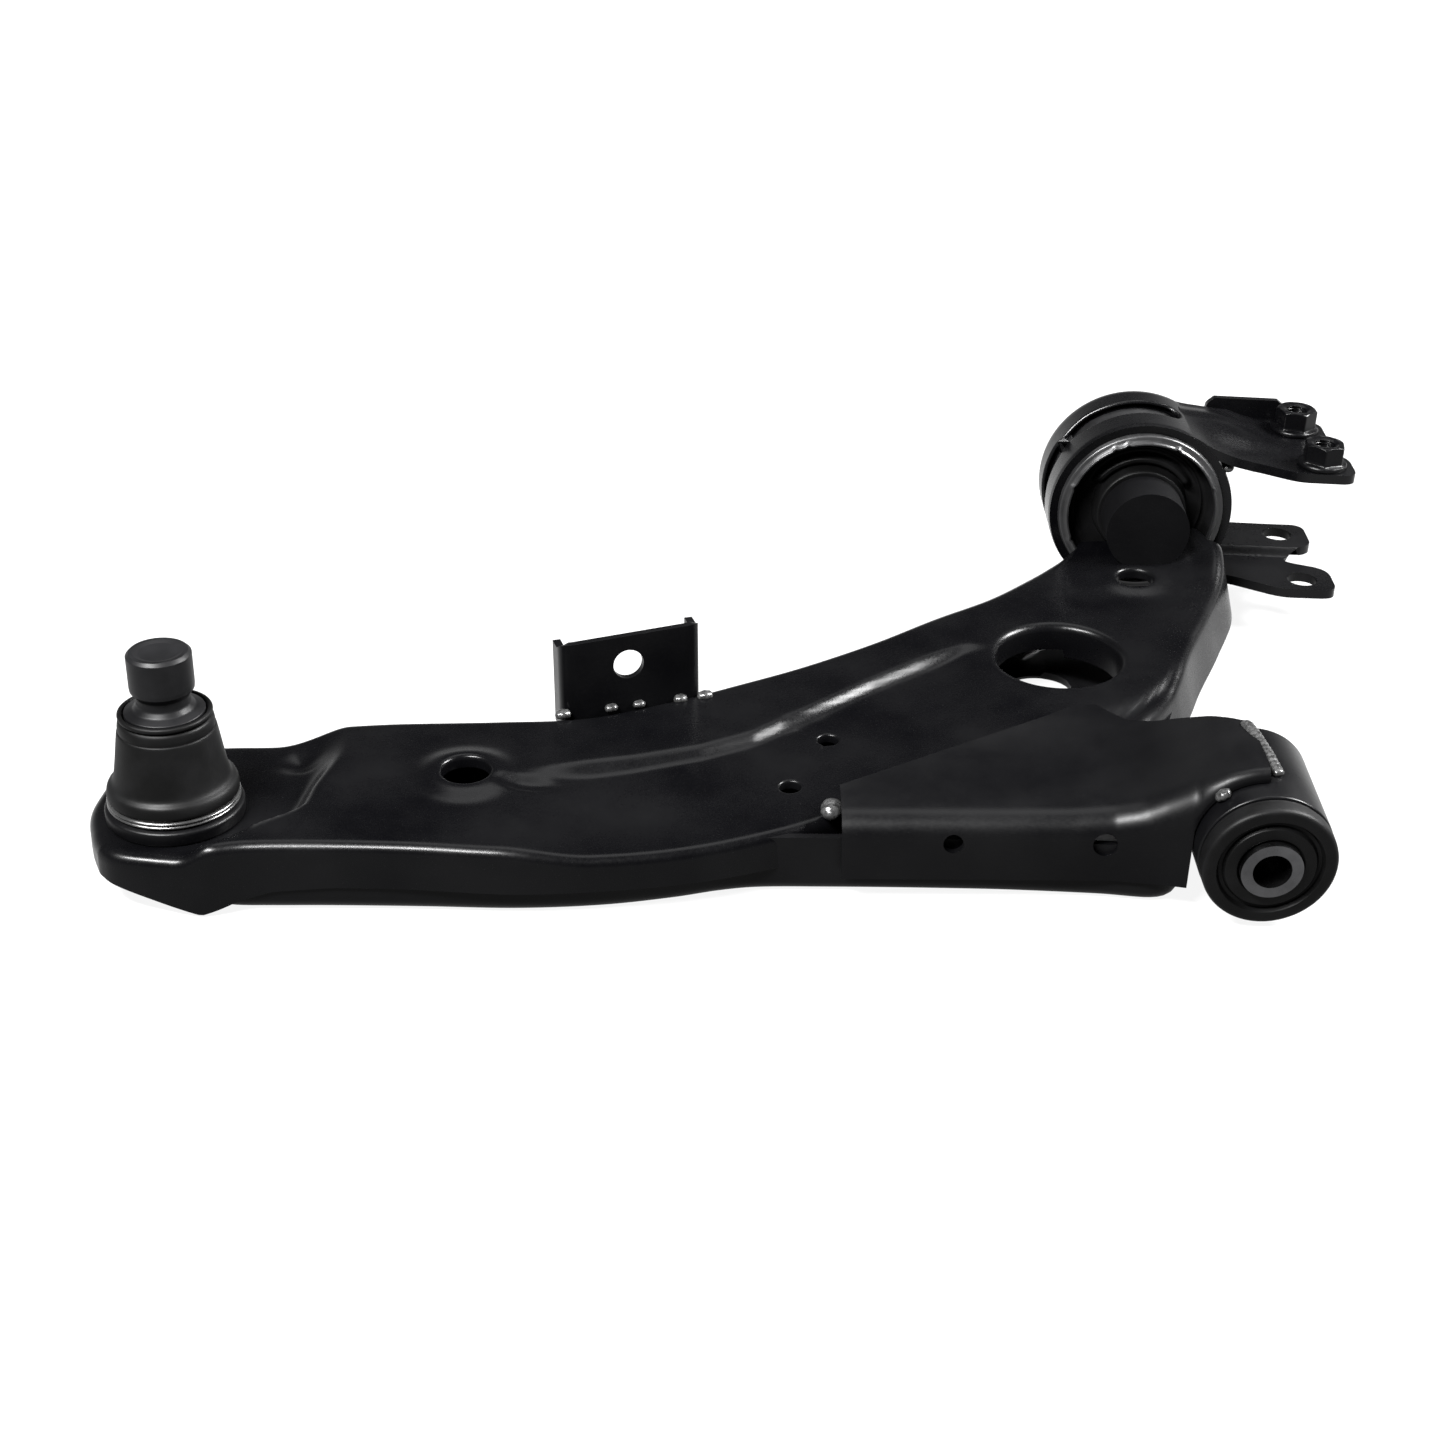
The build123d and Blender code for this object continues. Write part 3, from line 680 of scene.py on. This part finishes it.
def beadAlong(name, path, radius, ripple=2.2, seed=1, sides=20, squat=0.75):
    # weld bead: a circle carried along a path, its radius swelling with each ripple and closing at both ends
    path = np.array(path, float)
    count = max(24, int(runLength(path)[-1] / 0.35))
    line = evenly(alongSpans(path, 30), count)
    s = runLength(line)
    t = np.gradient(line, axis=0)
    t /= np.linalg.norm(t, axis=1)[:, None]
    side = np.cross(t, [0, 0, 1.0])
    side /= np.maximum(np.linalg.norm(side, axis=1)[:, None], 1e-6)
    up = np.cross(side, t)
    lump = 1 + 0.05 * np.sin(2 * np.pi * s / ripple) + 0.10 * waves(s, 0 * s, 0 * s, seed, 4)
    taper = np.where(np.minimum(s, s[-1] - s) > radius, 1, np.sqrt(np.clip(
        1 - (1 - np.minimum(s, s[-1] - s) / radius)**2, 0, 1)))
    r = radius * lump * taper
    a = np.linspace(0, 2 * np.pi, sides, endpoint=False)
    lag = 0.3 * np.sin(a)[None, :] * (r[:, None] / radius)
    ring = side[:, None] * np.cos(a)[None, :, None] + up[:, None] * np.sin(a)[None, :, None] * squat
    grid = line[:, None] + ring * r[:, None, None] + t[:, None] * lag[..., None] * 0.6
    return turnFaces(gridPiece(name, grid, closeV=True))


fit(makeCarrier(), coat["BushCarrier"], "arm", "bush_carrier")
print("bush carrier made")


# front bush
frontBush = dict(tube=22.0, start=-19.5, end=21.5, lip=21.9, lipFace=-27.2)


def makeFrontBush():
    p = frontBush
    start, end, face = p["start"], p["end"], p["lipFace"]
    tube = [(18.9, end - 0.2, 0), (19.2, end, 0.3), (p["tube"], end, 0.9), (p["tube"], start, 1.2),
            (20.0, start, 0.7), (18.9, start + 1.5, 0), (18.9, end - 0.2, 0)]
    soft = [(10.15, face + 1.2, 0), (10.9, face + 0.2, 0.4), (14.6, face + 0.3, 0.6), (15.3, face + 2.2, 0.5),
            (16.6, face + 2.2, 0.5), (17.4, face + 0.1, 0.7), (p["lip"] - 0.1, face, 2.3), (p["lip"], -21.4, 0.9),
            (21.2, -20.6, 0.4), (21.3, -19.7, 0.2), (18.7, -19.55, 0), (18.7, 20.4, 0.2), (16.2, 22.4, 1.2),
            (16.0, 27.4, 1.0), (10.15, 27.4, 0), (10.15, face + 1.2, 0)]
    housing = turnedPiece("frontBushTube", roundedProfile(tube), (0, 0, 0), bushAxis, 128)
    fit(housing, coat["BushTube"], "arm", "front_bush_housing")
    filling = turnedPiece("frontBushRubber", roundedProfile(soft), (0, 0, 0), bushAxis, 128)
    fit(filling, bushRubber, "arm", "front_bush_rubber")


makeFrontBush()
print("front bush made")


# ball joint
ballJoint = dict(
    cup=[(14.4, -14, 0), (19.4, -14, 0.8), (19.4, 5.4, 0.5), (22.8, 5.5, 0.9), (23.0, 10.1, 1.4),
         (20.6, 11, 0.7), (13.8, 11, 0.7), (11.0, 5.6, 0), (14.4, 5.5, 0), (14.4, -14, 0)],
    boot=[(19.3, 14.0), (21.3, 14.2), (21.6, 16.2), (21.0, 18.3), (19.5, 19.8), (18.7, 22), (17.8, 27),
          (17.0, 32.4), (16.2, 37.4), (15.75, 38.2), (15.8, 39.4), (15.5, 41.2), (14.9, 42.0), (14.2, 42.0), (13.7, 41.2),
          (13.8, 39), (14.8, 34), (15.6, 27), (16.5, 21), (18, 17), (19.3, 14.0)],
    upperRing=[(13.6, 43.4), (14.0, 42.7), (14.9, 42.6), (15.4, 43.2), (15.3, 44.0), (14.7, 44.4),
               (14.0, 44.2), (13.6, 43.4)],
    stud=[(6.4, 10.15, 0), (6.4, 15, 2), (8.0, 33, 4), (8.4, 41.4, 0.5), (12.7, 42.5, 0.4), (13.2, 43.0, 0.5),
          (13.2, 44.4, 0.6), (10.2, 45.5, 1.6), (8.9, 47.2, 1.5), (8.8, 50.1, 1.0), (10.45, 52.1, 0.5),
          (10.6, 53.4, 0.6), (10.6, 64.3, 0.35), (9.5, 65.4, 0.35), (8.2, 65.4, 0.5), (6.5, 64.8, 2.0),
          (0, 64.5, 0)],
    ballRadius=12.0, blendFrom=18.0, blendTo=40.0,
)


def makeBallJoint():
    p = ballJoint
    up = (0, 0, 1)
    cup = turnedPiece("ballJointCup", roundedProfile(p["cup"]), ballCentre, up, 120)
    fit(cup, coat["ForgedCup"], "arm", "ball_joint_housing")
    z = np.linspace(11.2, 13.8, 27)   # two turns of flat-sided wire
    wire = np.stack([20.9 + 0.95 * np.abs(np.sin(np.pi * (z - 11.2) / 1.3))**0.6, z], 1)
    wire = np.vstack([[(18.6, 11.2)], wire, [(18.6, 13.8), (18.6, 11.2)]])
    clamp = turnedPiece("bootLowerRingWire", wire, ballCentre, up, 120)
    fit(clamp, ringSteel, "arm", "boot_lower_ring")
    boot = turnedPiece("dustBootMoulded", alongSpans(p["boot"], 5), ballCentre, up, 120)
    paint(boot, bootRubber)
    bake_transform(boot)
    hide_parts("dust_boot")
    ring = turnedPiece("bootUpperLip", alongSpans(p["upperRing"], 4), ballCentre, up, 120)
    fit(ring, bootRubber, "stud_lean", "boot_upper_ring")
    a = np.radians(np.linspace(-90, 57.7, 30))
    ball = np.stack([p["ballRadius"] * np.cos(a), p["ballRadius"] * np.sin(a)], 1)
    shape = np.vstack([ball, roundedProfile(p["stud"])])
    shape[0, 0] = 0
    stud = turnedPiece("ballStudMachined", shape, ballCentre, up, 144)
    fit(stud, studSteel, "stud", "ball_stud")


makeBallJoint()
print("ball joint made")


# rear bush
rearBush = dict(
    radius=36.0, half=19.0, sheet=3.3, turns=330, rows=46, slotRadius=6.1, slotLine=1.0,
    slots=[(-48, 14), (-92, -66), (-150, -118)],
    can=[(30.75, -20.5, 0), (32.45, -20.5, 0.4), (32.45, 18.7, 0.6), (31.9, 20.4, 0.9), (30.5, 20.8, 0.5),
         (29.8, 21.2, 0.4), (29.3, 21.9, 0.3), (28.6, 21.9, 0.3), (28.5, 19.0, 0.3), (30.75, 18.3, 0.2),
         (30.75, -20.5, 0)],
    crimps=[-112, -68, -24, -14, 25, 70, 118], boss=17.2, sleeve=14.9, rim=30.6,
)
bracketSide = np.cross([0, 1, 0], bracketUp)


def fromBracket(points):   # the bracket's own millimetres to the frame's
    return rearCentre + np.asarray(points, float) @ np.stack([bracketSide, [0, 1, 0], bracketUp])


def fromTop(x, z):   # angle in degrees from straight above the rear bush, positive inboard
    return np.degrees(np.arctan2(x, z))


def makeBand():
    # arc length by width, with its slots opened flat, then wrapped round the bush
    p = rearBush
    arc, wide = np.meshgrid(np.radians(np.linspace(-200, 160, p["turns"])) * p["radius"],
                            np.linspace(-p["half"], p["half"], p["rows"]), indexing="ij")
    holes = []
    for start, end in p["slots"]:
        middle, half = math.radians((start + end) / 2), math.radians((end - start) / 2)
        holes.append((middle * p["radius"], p["slotLine"], p["slotRadius"], 0.9, 1.5, half * p["radius"]))
    flat, drop, keep = openHoles(np.dstack([arc, wide]), holes)
    a, r = flat[..., 0] / p["radius"], p["radius"] - drop - 0.35 * ease(np.abs(flat[..., 1]), 17, 19)
    grid = fromBracket(np.dstack([r * np.sin(a), flat[..., 1], r * np.cos(a)]))
    piece = turnFaces(gridPiece("rearBandStrap", grid, keep=keep), awayFrom(rearCentre))
    return sheetMetal(piece, p["sheet"], edge=0.7)


def crimpedLip(grid):   # small outward nicks where the can's lip is crimped
    a = fromTop(grid[..., 0] - rearCentre[0], grid[..., 2] - rearCentre[2])
    nick = sum(np.exp(-((a - c) / 1.5)**2) for c in rearBush["crimps"])
    away = grid - rearCentre
    radius = np.hypot(away[..., 0], away[..., 2])
    front = ease(-away[..., 1], 19.5, 21) * ease(-radius, -31, -30)
    scale = 1 + 0.022 * nick * front
    return rearCentre + away * np.stack([scale, 1 + 0 * scale, scale], -1)


def makeRearRubber():
    # height over (angle, radius): boss at the sleeve, a dish, a raised arch over its upper half, an outer rim
    p = rearBush
    turns, rings = np.linspace(-np.pi, np.pi, 145)[:-1], np.linspace(p["sleeve"], p["rim"], 46)
    a, r = np.meshgrid(turns, rings, indexing="ij")
    turn = np.degrees(a)
    arch = ease(-np.abs(r - 20.4), -2.3, -0.7) * ease(-np.abs(turn), -68, -52)
    h = 12.5 + 8.8 * ease(-r, -18.8, -p["boss"]) + 5.2 * ease(r, 26.0, 30.2) + 4.6 * arch
    h = h + 0.7 * ease(-np.abs(r - 24.5), -0.8, 0) * ease(-np.abs(turn), -120, -110)
    h = h + 0.15 * waves(r * np.sin(a), r * np.cos(a), 0 * r, 5, 5)
    back = np.full((len(a), 1), -18.0)
    r = np.hstack([r, r[:, -1:], r[:, :1]])
    h = np.hstack([h, back, back])
    a = np.hstack([a, a[:, :2]])
    grid = fromBracket(np.dstack([r * np.sin(a), -h, r * np.cos(a)]))
    return turnFaces(gridPiece("rearBushRubberMoulded", grid, closeU=True, closeV=True))


fit(makeBand(), coat["RearBand"], "rear_bracket", "rear_band")
can = turnedPiece("rearCanCrimped", roundedProfile(rearBush["can"]), rearCentre, (0, -1, 0), 240, crimpedLip)
fit(can, canSteel, "rear_bracket", "rear_bush_can")
fit(makeRearRubber(), bushRubber, "rear_bracket", "rear_bush_rubber")
print("rear bush made")


# bracket plates and weld nuts
bracketPlates = dict(
    sheet=3.7, bolts=[(67.3, -21.0), (63.4, 15.0)], holeRadius=6.0, threadRoom=4.6, upperZ=23.8,
    lowerZ=-25.0, farStep=3.5, rows=110, lines=80,
    near=[(36, -19, 30), (57.3, -31, 30), (67.3, -31, 0)], far=[(32, 19, 10), (40, 25, 20), (63.4, 25, 0)],
    ears=[(67.3, -31, 0), (79.5, -31, 9.5), (79.5, -11, 9.5), (59.4, -3, 6.5), (75.6, 5, 7), (75.6, 25, 9.5),
          (63.4, 25, 0)],
    highFar=[(12, 33.6), (15.5, 32.3), (19, 31.6), (24, 31.0), (30, 30.2), (37, 28.6), (44, 26.4),
             (52, 24.5), (58, 23.8), (84, 23.8)],
    highNear=[(12, 33.6), (15.5, 32.3), (19, 30.8), (24, 28.0), (29, 25.9), (34, 24.5), (40, 23.9),
              (46, 23.8), (84, 23.8)],
    flange=[(28, 22), (28.6, 30.5), (31.5, 33.2), (57, 33.2), (60, 31), (61, 22)], flangeSheet=2.8,
)


def fourEdges(near, far, start, end):
    # surface between four edges: opposite edges mixed both ways, less the corners counted twice
    s, t = np.linspace(0, 1, len(near))[:, None, None], np.linspace(0, 1, len(start))[None, :, None]
    corners = (1 - s) * ((1 - t) * near[0] + t * far[0]) + s * ((1 - t) * near[-1] + t * far[-1])
    return (1 - t) * near[:, None] + t * far[:, None] + (1 - s) * start[None] + s * end[None] - corners


def platePlan(start):
    p = bracketPlates
    first, last = start[0], start[-1]
    near = evenly(roundedProfile([(*first, 0)] + p["near"], 10), p["lines"])
    far = evenly(roundedProfile([(*last, 0)] + p["far"], 10), p["lines"])
    end = evenly(roundedProfile(p["ears"], 12), p["rows"])
    return fourEdges(near, far, evenly(np.array(start, float), p["rows"]), end)


def plateBolts(piece, level, radius):
    for x, y in bracketPlates["bolts"]:
        cutHole(piece, fromBracket((x, y, level)), bracketUp, radius, 16)


def makeUpperPlate():
    # top face over (x, y): leaves the band along its tangent, sooner at the near edge than at the far one
    p = bracketPlates
    plan = platePlan([(15.5, -18.6), (15.5, 18.6)])
    x, y = plan[..., 0], plan[..., 1]
    far, near = alongSpans(p["highFar"], 12), alongSpans(p["highNear"], 12)
    side = ease(y, -22, 6)
    z = np.interp(x, *near.T) * (1 - side) + np.interp(x, *far.T) * side
    hollow = np.hypot((x - 44) / 17, (y + 12) / 9)
    ridge = ease(-np.abs(y - 8 - 0.1 * x), -6, 0) * ease(-x, -54, -34)
    z = z - 1.1 * ease(-hollow, -1.2, 0) + 0.5 * ridge
    piece = turnFaces(gridPiece("upperPlatePressing", fromBracket(np.dstack([x, y, z]))), upwards)
    plateBolts(piece, p["upperZ"], p["threadRoom"])
    return sheetMetal(piece, p["sheet"], edge=0.7)


def makePlateFlange():
    # outer face of the upturned edge: a quarter bend out of the plate's underside, then straight up
    p = bracketPlates
    xs = np.linspace(28, 61, 60)
    top = np.interp(xs, *np.array(p["flange"], float).T)
    a = np.linspace(0, np.pi / 2, 9)
    bendY, bendZ = 19.8 + 5.2 * np.sin(a), 20.2 + 5.2 * (1 - np.cos(a))
    k = np.linspace(0, 1, 9)[None, 1:]
    rise = k * np.maximum(top - bendZ[-1], 0.3)[:, None]
    z = np.hstack([np.broadcast_to(bendZ, (60, 9)), bendZ[-1] + rise])
    y = np.hstack([np.broadcast_to(bendY, (60, 9)), np.full((60, 8), 25.0)])
    grid = fromBracket(np.dstack([np.broadcast_to(xs[:, None], y.shape), y, z]))
    piece = turnFaces(gridPiece("upperPlateFlange", grid), awayFrom(fromBracket((44, 5, 45))))
    return sheetMetal(piece, p["flangeSheet"], edge=0.6)


def makeLowerPlate():
    # two flat levels joined by a steep web between the ears
    p = bracketPlates
    plan = platePlan([(22, -19), (22, -2), (25.5, 4), (25.5, 19)])
    x, y = plan[..., 0], plan[..., 1]
    z = p["lowerZ"] + p["farStep"] * ease(y, -0.6, 2.4) + 0.25 * ease(x, 60, 80)
    piece = turnFaces(gridPiece("lowerPlatePressing", fromBracket(np.dstack([x, y, z]))), upwards)
    plateBolts(piece, p["lowerZ"] + p["farStep"] / 2, p["holeRadius"])
    return sheetMetal(piece, p["sheet"], edge=0.7)


weldNut = dict(across=14.2, corner=8.1, flange=9.5, height=9.4, bore=4.25, pitch=1.25, wallAt=22.0)


def makeNuts():
    # radius over (angle, profile point): a round flange, a hexagon cut by a chamfer cone, and a helical thread
    p = weldNut
    a = np.linspace(0, 2 * np.pi, 145)[:-1]
    inRadius = p["across"] / 2
    hexagon = np.minimum(inRadius / np.cos((a + np.pi / 6) % (np.pi / 3) - np.pi / 6), p["corner"])
    flange, height = p["flange"], p["height"]
    rows = [(p["bore"] + 0.3, 0), (flange - 0.3, 0), (flange, 0.4), (flange, 1.3), (flange - 0.4, 1.8),
            (np.maximum(hexagon + 0.5, 8.0), 2.0), (hexagon + 0.15, 2.3)]
    rows += [(hexagon, z) for z in np.linspace(2.8, 7.9, 8)]
    rows += [(np.minimum(hexagon, inRadius + 0.1 + (height - z) * 1.3), z) for z in np.linspace(8.1, 9.4, 8)]
    rows += [(5.6, height), (5.1, height - 0.05)]
    for z in np.linspace(height - 0.6, 0.5, 57):
        rows.append((p["bore"] + 0.32 * np.sin(2 * np.pi * z / p["pitch"] - a), z))
    r = np.stack([0 * a + row[0] for row in rows], 1)
    z = np.stack([0 * a + row[1] for row in rows], 1)
    points, faces = [], []
    for k, (x, y) in enumerate(bracketPlates["bolts"]):
        turn = a[:, None] + (0.28 if k else -0.12)
        local = np.dstack([x + r * np.cos(turn), np.minimum(y + r * np.sin(turn), p["wallAt"]),
                           bracketPlates["upperZ"] + z])
        faces += gridFaces(*r.shape, closeU=True, closeV=True, start=k * r.size)
        points.append(fromBracket(local).reshape(-1, 3))
    piece = turnFaces(newPiece("weldNutsThreaded", np.vstack(points), faces))
    return roundEdges(piece, 0.25, 40)


fit(makeUpperPlate(), coat["BracketPlates"], "rear_bracket", "bracket_upper_plate")
flange = paint(makePlateFlange(), coat["BracketPlates"])   # the same node's upturned edge
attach(flange, "rear_bracket")
fit(makeLowerPlate(), coat["BracketPlates"], "rear_bracket", "bracket_lower_plate")
fit(makeNuts(), coat["WeldNuts"], "rear_bracket", "bracket_nuts")
print("bracket made")


# link bracket
linkBracket = dict(place=(-204.0, 76.2, 2.0), yaw=16.3, width=50.4, height=27.0, sheet=2.8, flange=12.5,
                   bend=5.5, sideDrop=3.0, slope=0.045, hole=(-1.2, 16.2), holeRadius=5.4, root=-8.0)


def fromLink(points):   # the link bracket's own millimetres to the frame's
    p = linkBracket
    c, s = math.cos(math.radians(p["yaw"])), math.sin(math.radians(p["yaw"]))
    return np.array(p["place"]) + np.asarray(points, float) @ np.array([[c, s, 0], [-s, c, 0], [0, 0, 1]])


def makeLinkBracket():
    # a U in plan, from one side's end round two bends to the other's, carried up to its top edge
    p = linkBracket
    half, bend = p["width"] / 2, p["bend"]
    corners = [(-half, p["flange"], 0), (-half, 0, bend), (half, 0, bend), (half, p["flange"], 0)]
    plan = evenly(roundedProfile(corners, 14), 130)
    top = p["height"] + p["slope"] * plan[:, 0] - p["sideDrop"] * ease(plan[:, 1], 0.3, 7)
    here = fromLink(np.dstack([plan[:, 0], plan[:, 1], 0 * top])[0])
    rearLine = np.interp(here[:, 0], *np.array(upperShell["rear"], float).T)
    onTop = upperHeight(here[:, 0], here[:, 1]) - 1.5 - p["place"][2]
    foot = np.where(here[:, 1] < rearLine + 1.0, onTop, p["root"])
    foot = np.convolve(np.pad(foot, 3, "edge"), np.ones(7) / 7, "valid")
    k = np.linspace(0, 1, 26)[None, :]
    z = foot[:, None] + (top - foot)[:, None] * k
    lean = 0.5 * k**2
    grid = fromLink(np.dstack([plan[:, :1] + 0 * z, plan[:, 1:] + lean + 0 * z, z]))
    piece = turnFaces(gridPiece("linkBracketPressing", grid), awayFrom(fromLink((0, 12, 10))))
    x, z = p["hole"]
    cutHole(piece, fromLink((x, 0, z)), fromLink((0, 1, 0)) - fromLink((0, 0, 0)), p["holeRadius"], 10)
    return sheetMetal(piece, p["sheet"], edge=0.6)


fit(makeLinkBracket(), coat["LinkBracket"], "arm", "link_bracket")
print("link bracket made")


# welds
weldRuns = dict(
    tube=[([(-1.2, 22.5, 24.0), (1.0, 12, 23.8), (3.0, 1, 23.0), (4.6, -9.5, 21.4)], 2.1),
          ([(-16.0, -13.6, 15.6), (-13.6, -14.2, 17.4), (-11.4, -14.4, 18.6)], 2.3)],
    carrier=[([(-137.5, 1.4, -0.4), (-137.0, 5.5, 0.6), (-136.2, 10.4, 0.4)], 3.6),
             ([(-40.8, 60.6, 2.6), (-38.0, 60.4, 3.4), (-35.6, 58.2, 3.2)], 2.8)],
    link=[(-25.4, 2.8), (-8, 2.3), (2, 2.2), (17, 2.4), (26.0, 2.8)],
    bracket=[([(27.2, -16.5, -24.0), (27.6, -8, -23.7), (27.2, 0, -24.0)], 2.4),
             ([(32.6, -16.5, 18.2), (33.0, -5, 18.2), (33.0, 6, 18.2), (32.6, 16.5, 18.2)], 2.4)],
)


def joined(name, parts):   # several closed pieces as one object
    bm = bmesh.new()
    for part in parts:
        bm.from_mesh(part.data)
        bpy.data.objects.remove(part)
    mesh = bpy.data.meshes.new(name)
    bm.to_mesh(mesh)
    bm.free()
    piece = bpy.data.objects.new(name, mesh)
    bpy.context.scene.collection.objects.link(piece)
    return piece


def makeWelds():
    run = weldRuns
    bead = lambda path, radius, seed: beadAlong("bead", path, radius, seed=seed)
    tube = [bead(path, radius, 3 + k) for k, (path, radius) in enumerate(run["tube"])]
    fit(joined("tubeWeldBeads", tube), weldBlack, "arm", "tube_weld")
    corners = [bead(path, radius, 9 + k) for k, (path, radius) in enumerate(run["carrier"])]
    fit(joined("carrierWeldBeads", corners), weldBlack, "arm", "carrier_welds")
    tack = lambda x, r: fromLink([(x - r, -0.4, 0.4), (x, -0.9, 0.7), (x + r, -0.4, 0.4)])
    tacks = [bead(tack(x, radius), radius * 0.8, 20 + k) for k, (x, radius) in enumerate(run["link"])]
    fit(joined("linkBracketTacks", tacks), weldBlack, "arm", "link_bracket_welds")
    straps = [bead(fromBracket(path), radius, 30 + k) for k, (path, radius) in enumerate(run["bracket"])]
    fit(joined("bracketWeldBeads", straps), weldBlack, "rear_bracket", "bracket_welds")


makeWelds()
print("welds made")


# studio
studio = dict(
    floorSize=9, floorDrop=0.0002, glow=0.9,
    sky=[(0.0, 0.95), (0.12, 0.65), (0.24, 0.28), (0.36, 0.08), (0.46, 0.03), (1.0, 0.02)],   # height, level
    boxes=dict(   # place, aim, size, power
        noseBox=((-0.78, -0.60, 1.15), (-0.33, 0, 0), (0.75, 0.2), 230),
        rightBox=((1.03, 0.28, 0.95), (-0.1, 0.1, 0), (0.55, 0.45), 230),
        wideTop=((-0.1, 0.9, 2.2), (-0.1, 0.1, 0), (1.6, 1.2), 40)),
    lens=64.78, sensor=36, camera=(-0.1726, -0.7316, 0.4247), tilt=62,
)


def softBox(name, place, aim, size, power):
    data = bpy.data.lights.new(name, "AREA")
    data.shape = "RECTANGLE"
    data.size, data.size_y = size
    data.energy = power
    lamp = bpy.data.objects.new(name, data)
    bpy.context.scene.collection.objects.link(lamp)
    lamp.location = place
    lamp.rotation_euler = (Vector(aim) - Vector(place)).to_track_quat("-Z", "Y").to_euler()


def makeFloor():
    middle = (0, 0.6, floorZ - studio["floorDrop"])
    bpy.ops.mesh.primitive_plane_add(size=studio["floorSize"], location=middle)
    floor = bpy.context.object
    floor.name = "paleFloor"
    material, tree, shader, place = newMaterial("paleFloor", (0.04, 0.04, 0.04), 0.7, specular=0.0)
    cloud = noise(tree, place, 3, 2)
    cloudy = mixColor(tree, cloud, (0.037, 0.037, 0.037), (0.043, 0.043, 0.043))
    tree.links.new(cloudy, shader.inputs["Base Color"])
    shader.inputs["Emission Color"].default_value = (1, 1, 1, 1)
    shader.inputs["Emission Strength"].default_value = studio["glow"]
    paint(floor, material)


def makeSky():   # grey level by height: bright at the horizon, dark overhead
    world = bpy.data.worlds.new("studioWorld")
    bpy.context.scene.world = world
    world.use_nodes = True
    tree = world.node_tree
    place = tree.nodes.new("ShaderNodeTexCoord")
    split = tree.nodes.new("ShaderNodeSeparateXYZ")
    tree.links.new(place.outputs["Generated"], split.inputs["Vector"])
    sky = tree.nodes.new("ShaderNodeValToRGB")
    tree.links.new(split.outputs["Z"], sky.inputs["Fac"])
    stops = sky.color_ramp.elements
    stops[1].position = studio["sky"][-1][0]
    for height, level in studio["sky"][1:-1]:
        stops.new(height)
    for stop, (height, level) in zip(stops, studio["sky"]):
        stop.color = (level, level, level, 1)
    tree.links.new(sky.outputs["Color"], tree.nodes["Background"].inputs["Color"])


def makeCamera():
    data = bpy.data.cameras.new("studioCamera")
    data.lens = studio["lens"]
    data.sensor_width = studio["sensor"]
    data.clip_start = 0.01
    camera = bpy.data.objects.new("studioCamera", data)
    bpy.context.scene.collection.objects.link(camera)
    camera.location = studio["camera"]
    camera.rotation_euler = (math.radians(studio["tilt"]), 0, 0)
    bpy.context.scene.camera = camera


makeFloor()
makeSky()
for name, box in studio["boxes"].items():
    softBox(name, *box)
makeCamera()
print("studio made")
bpy.context.scene.view_settings.view_transform = "Standard"
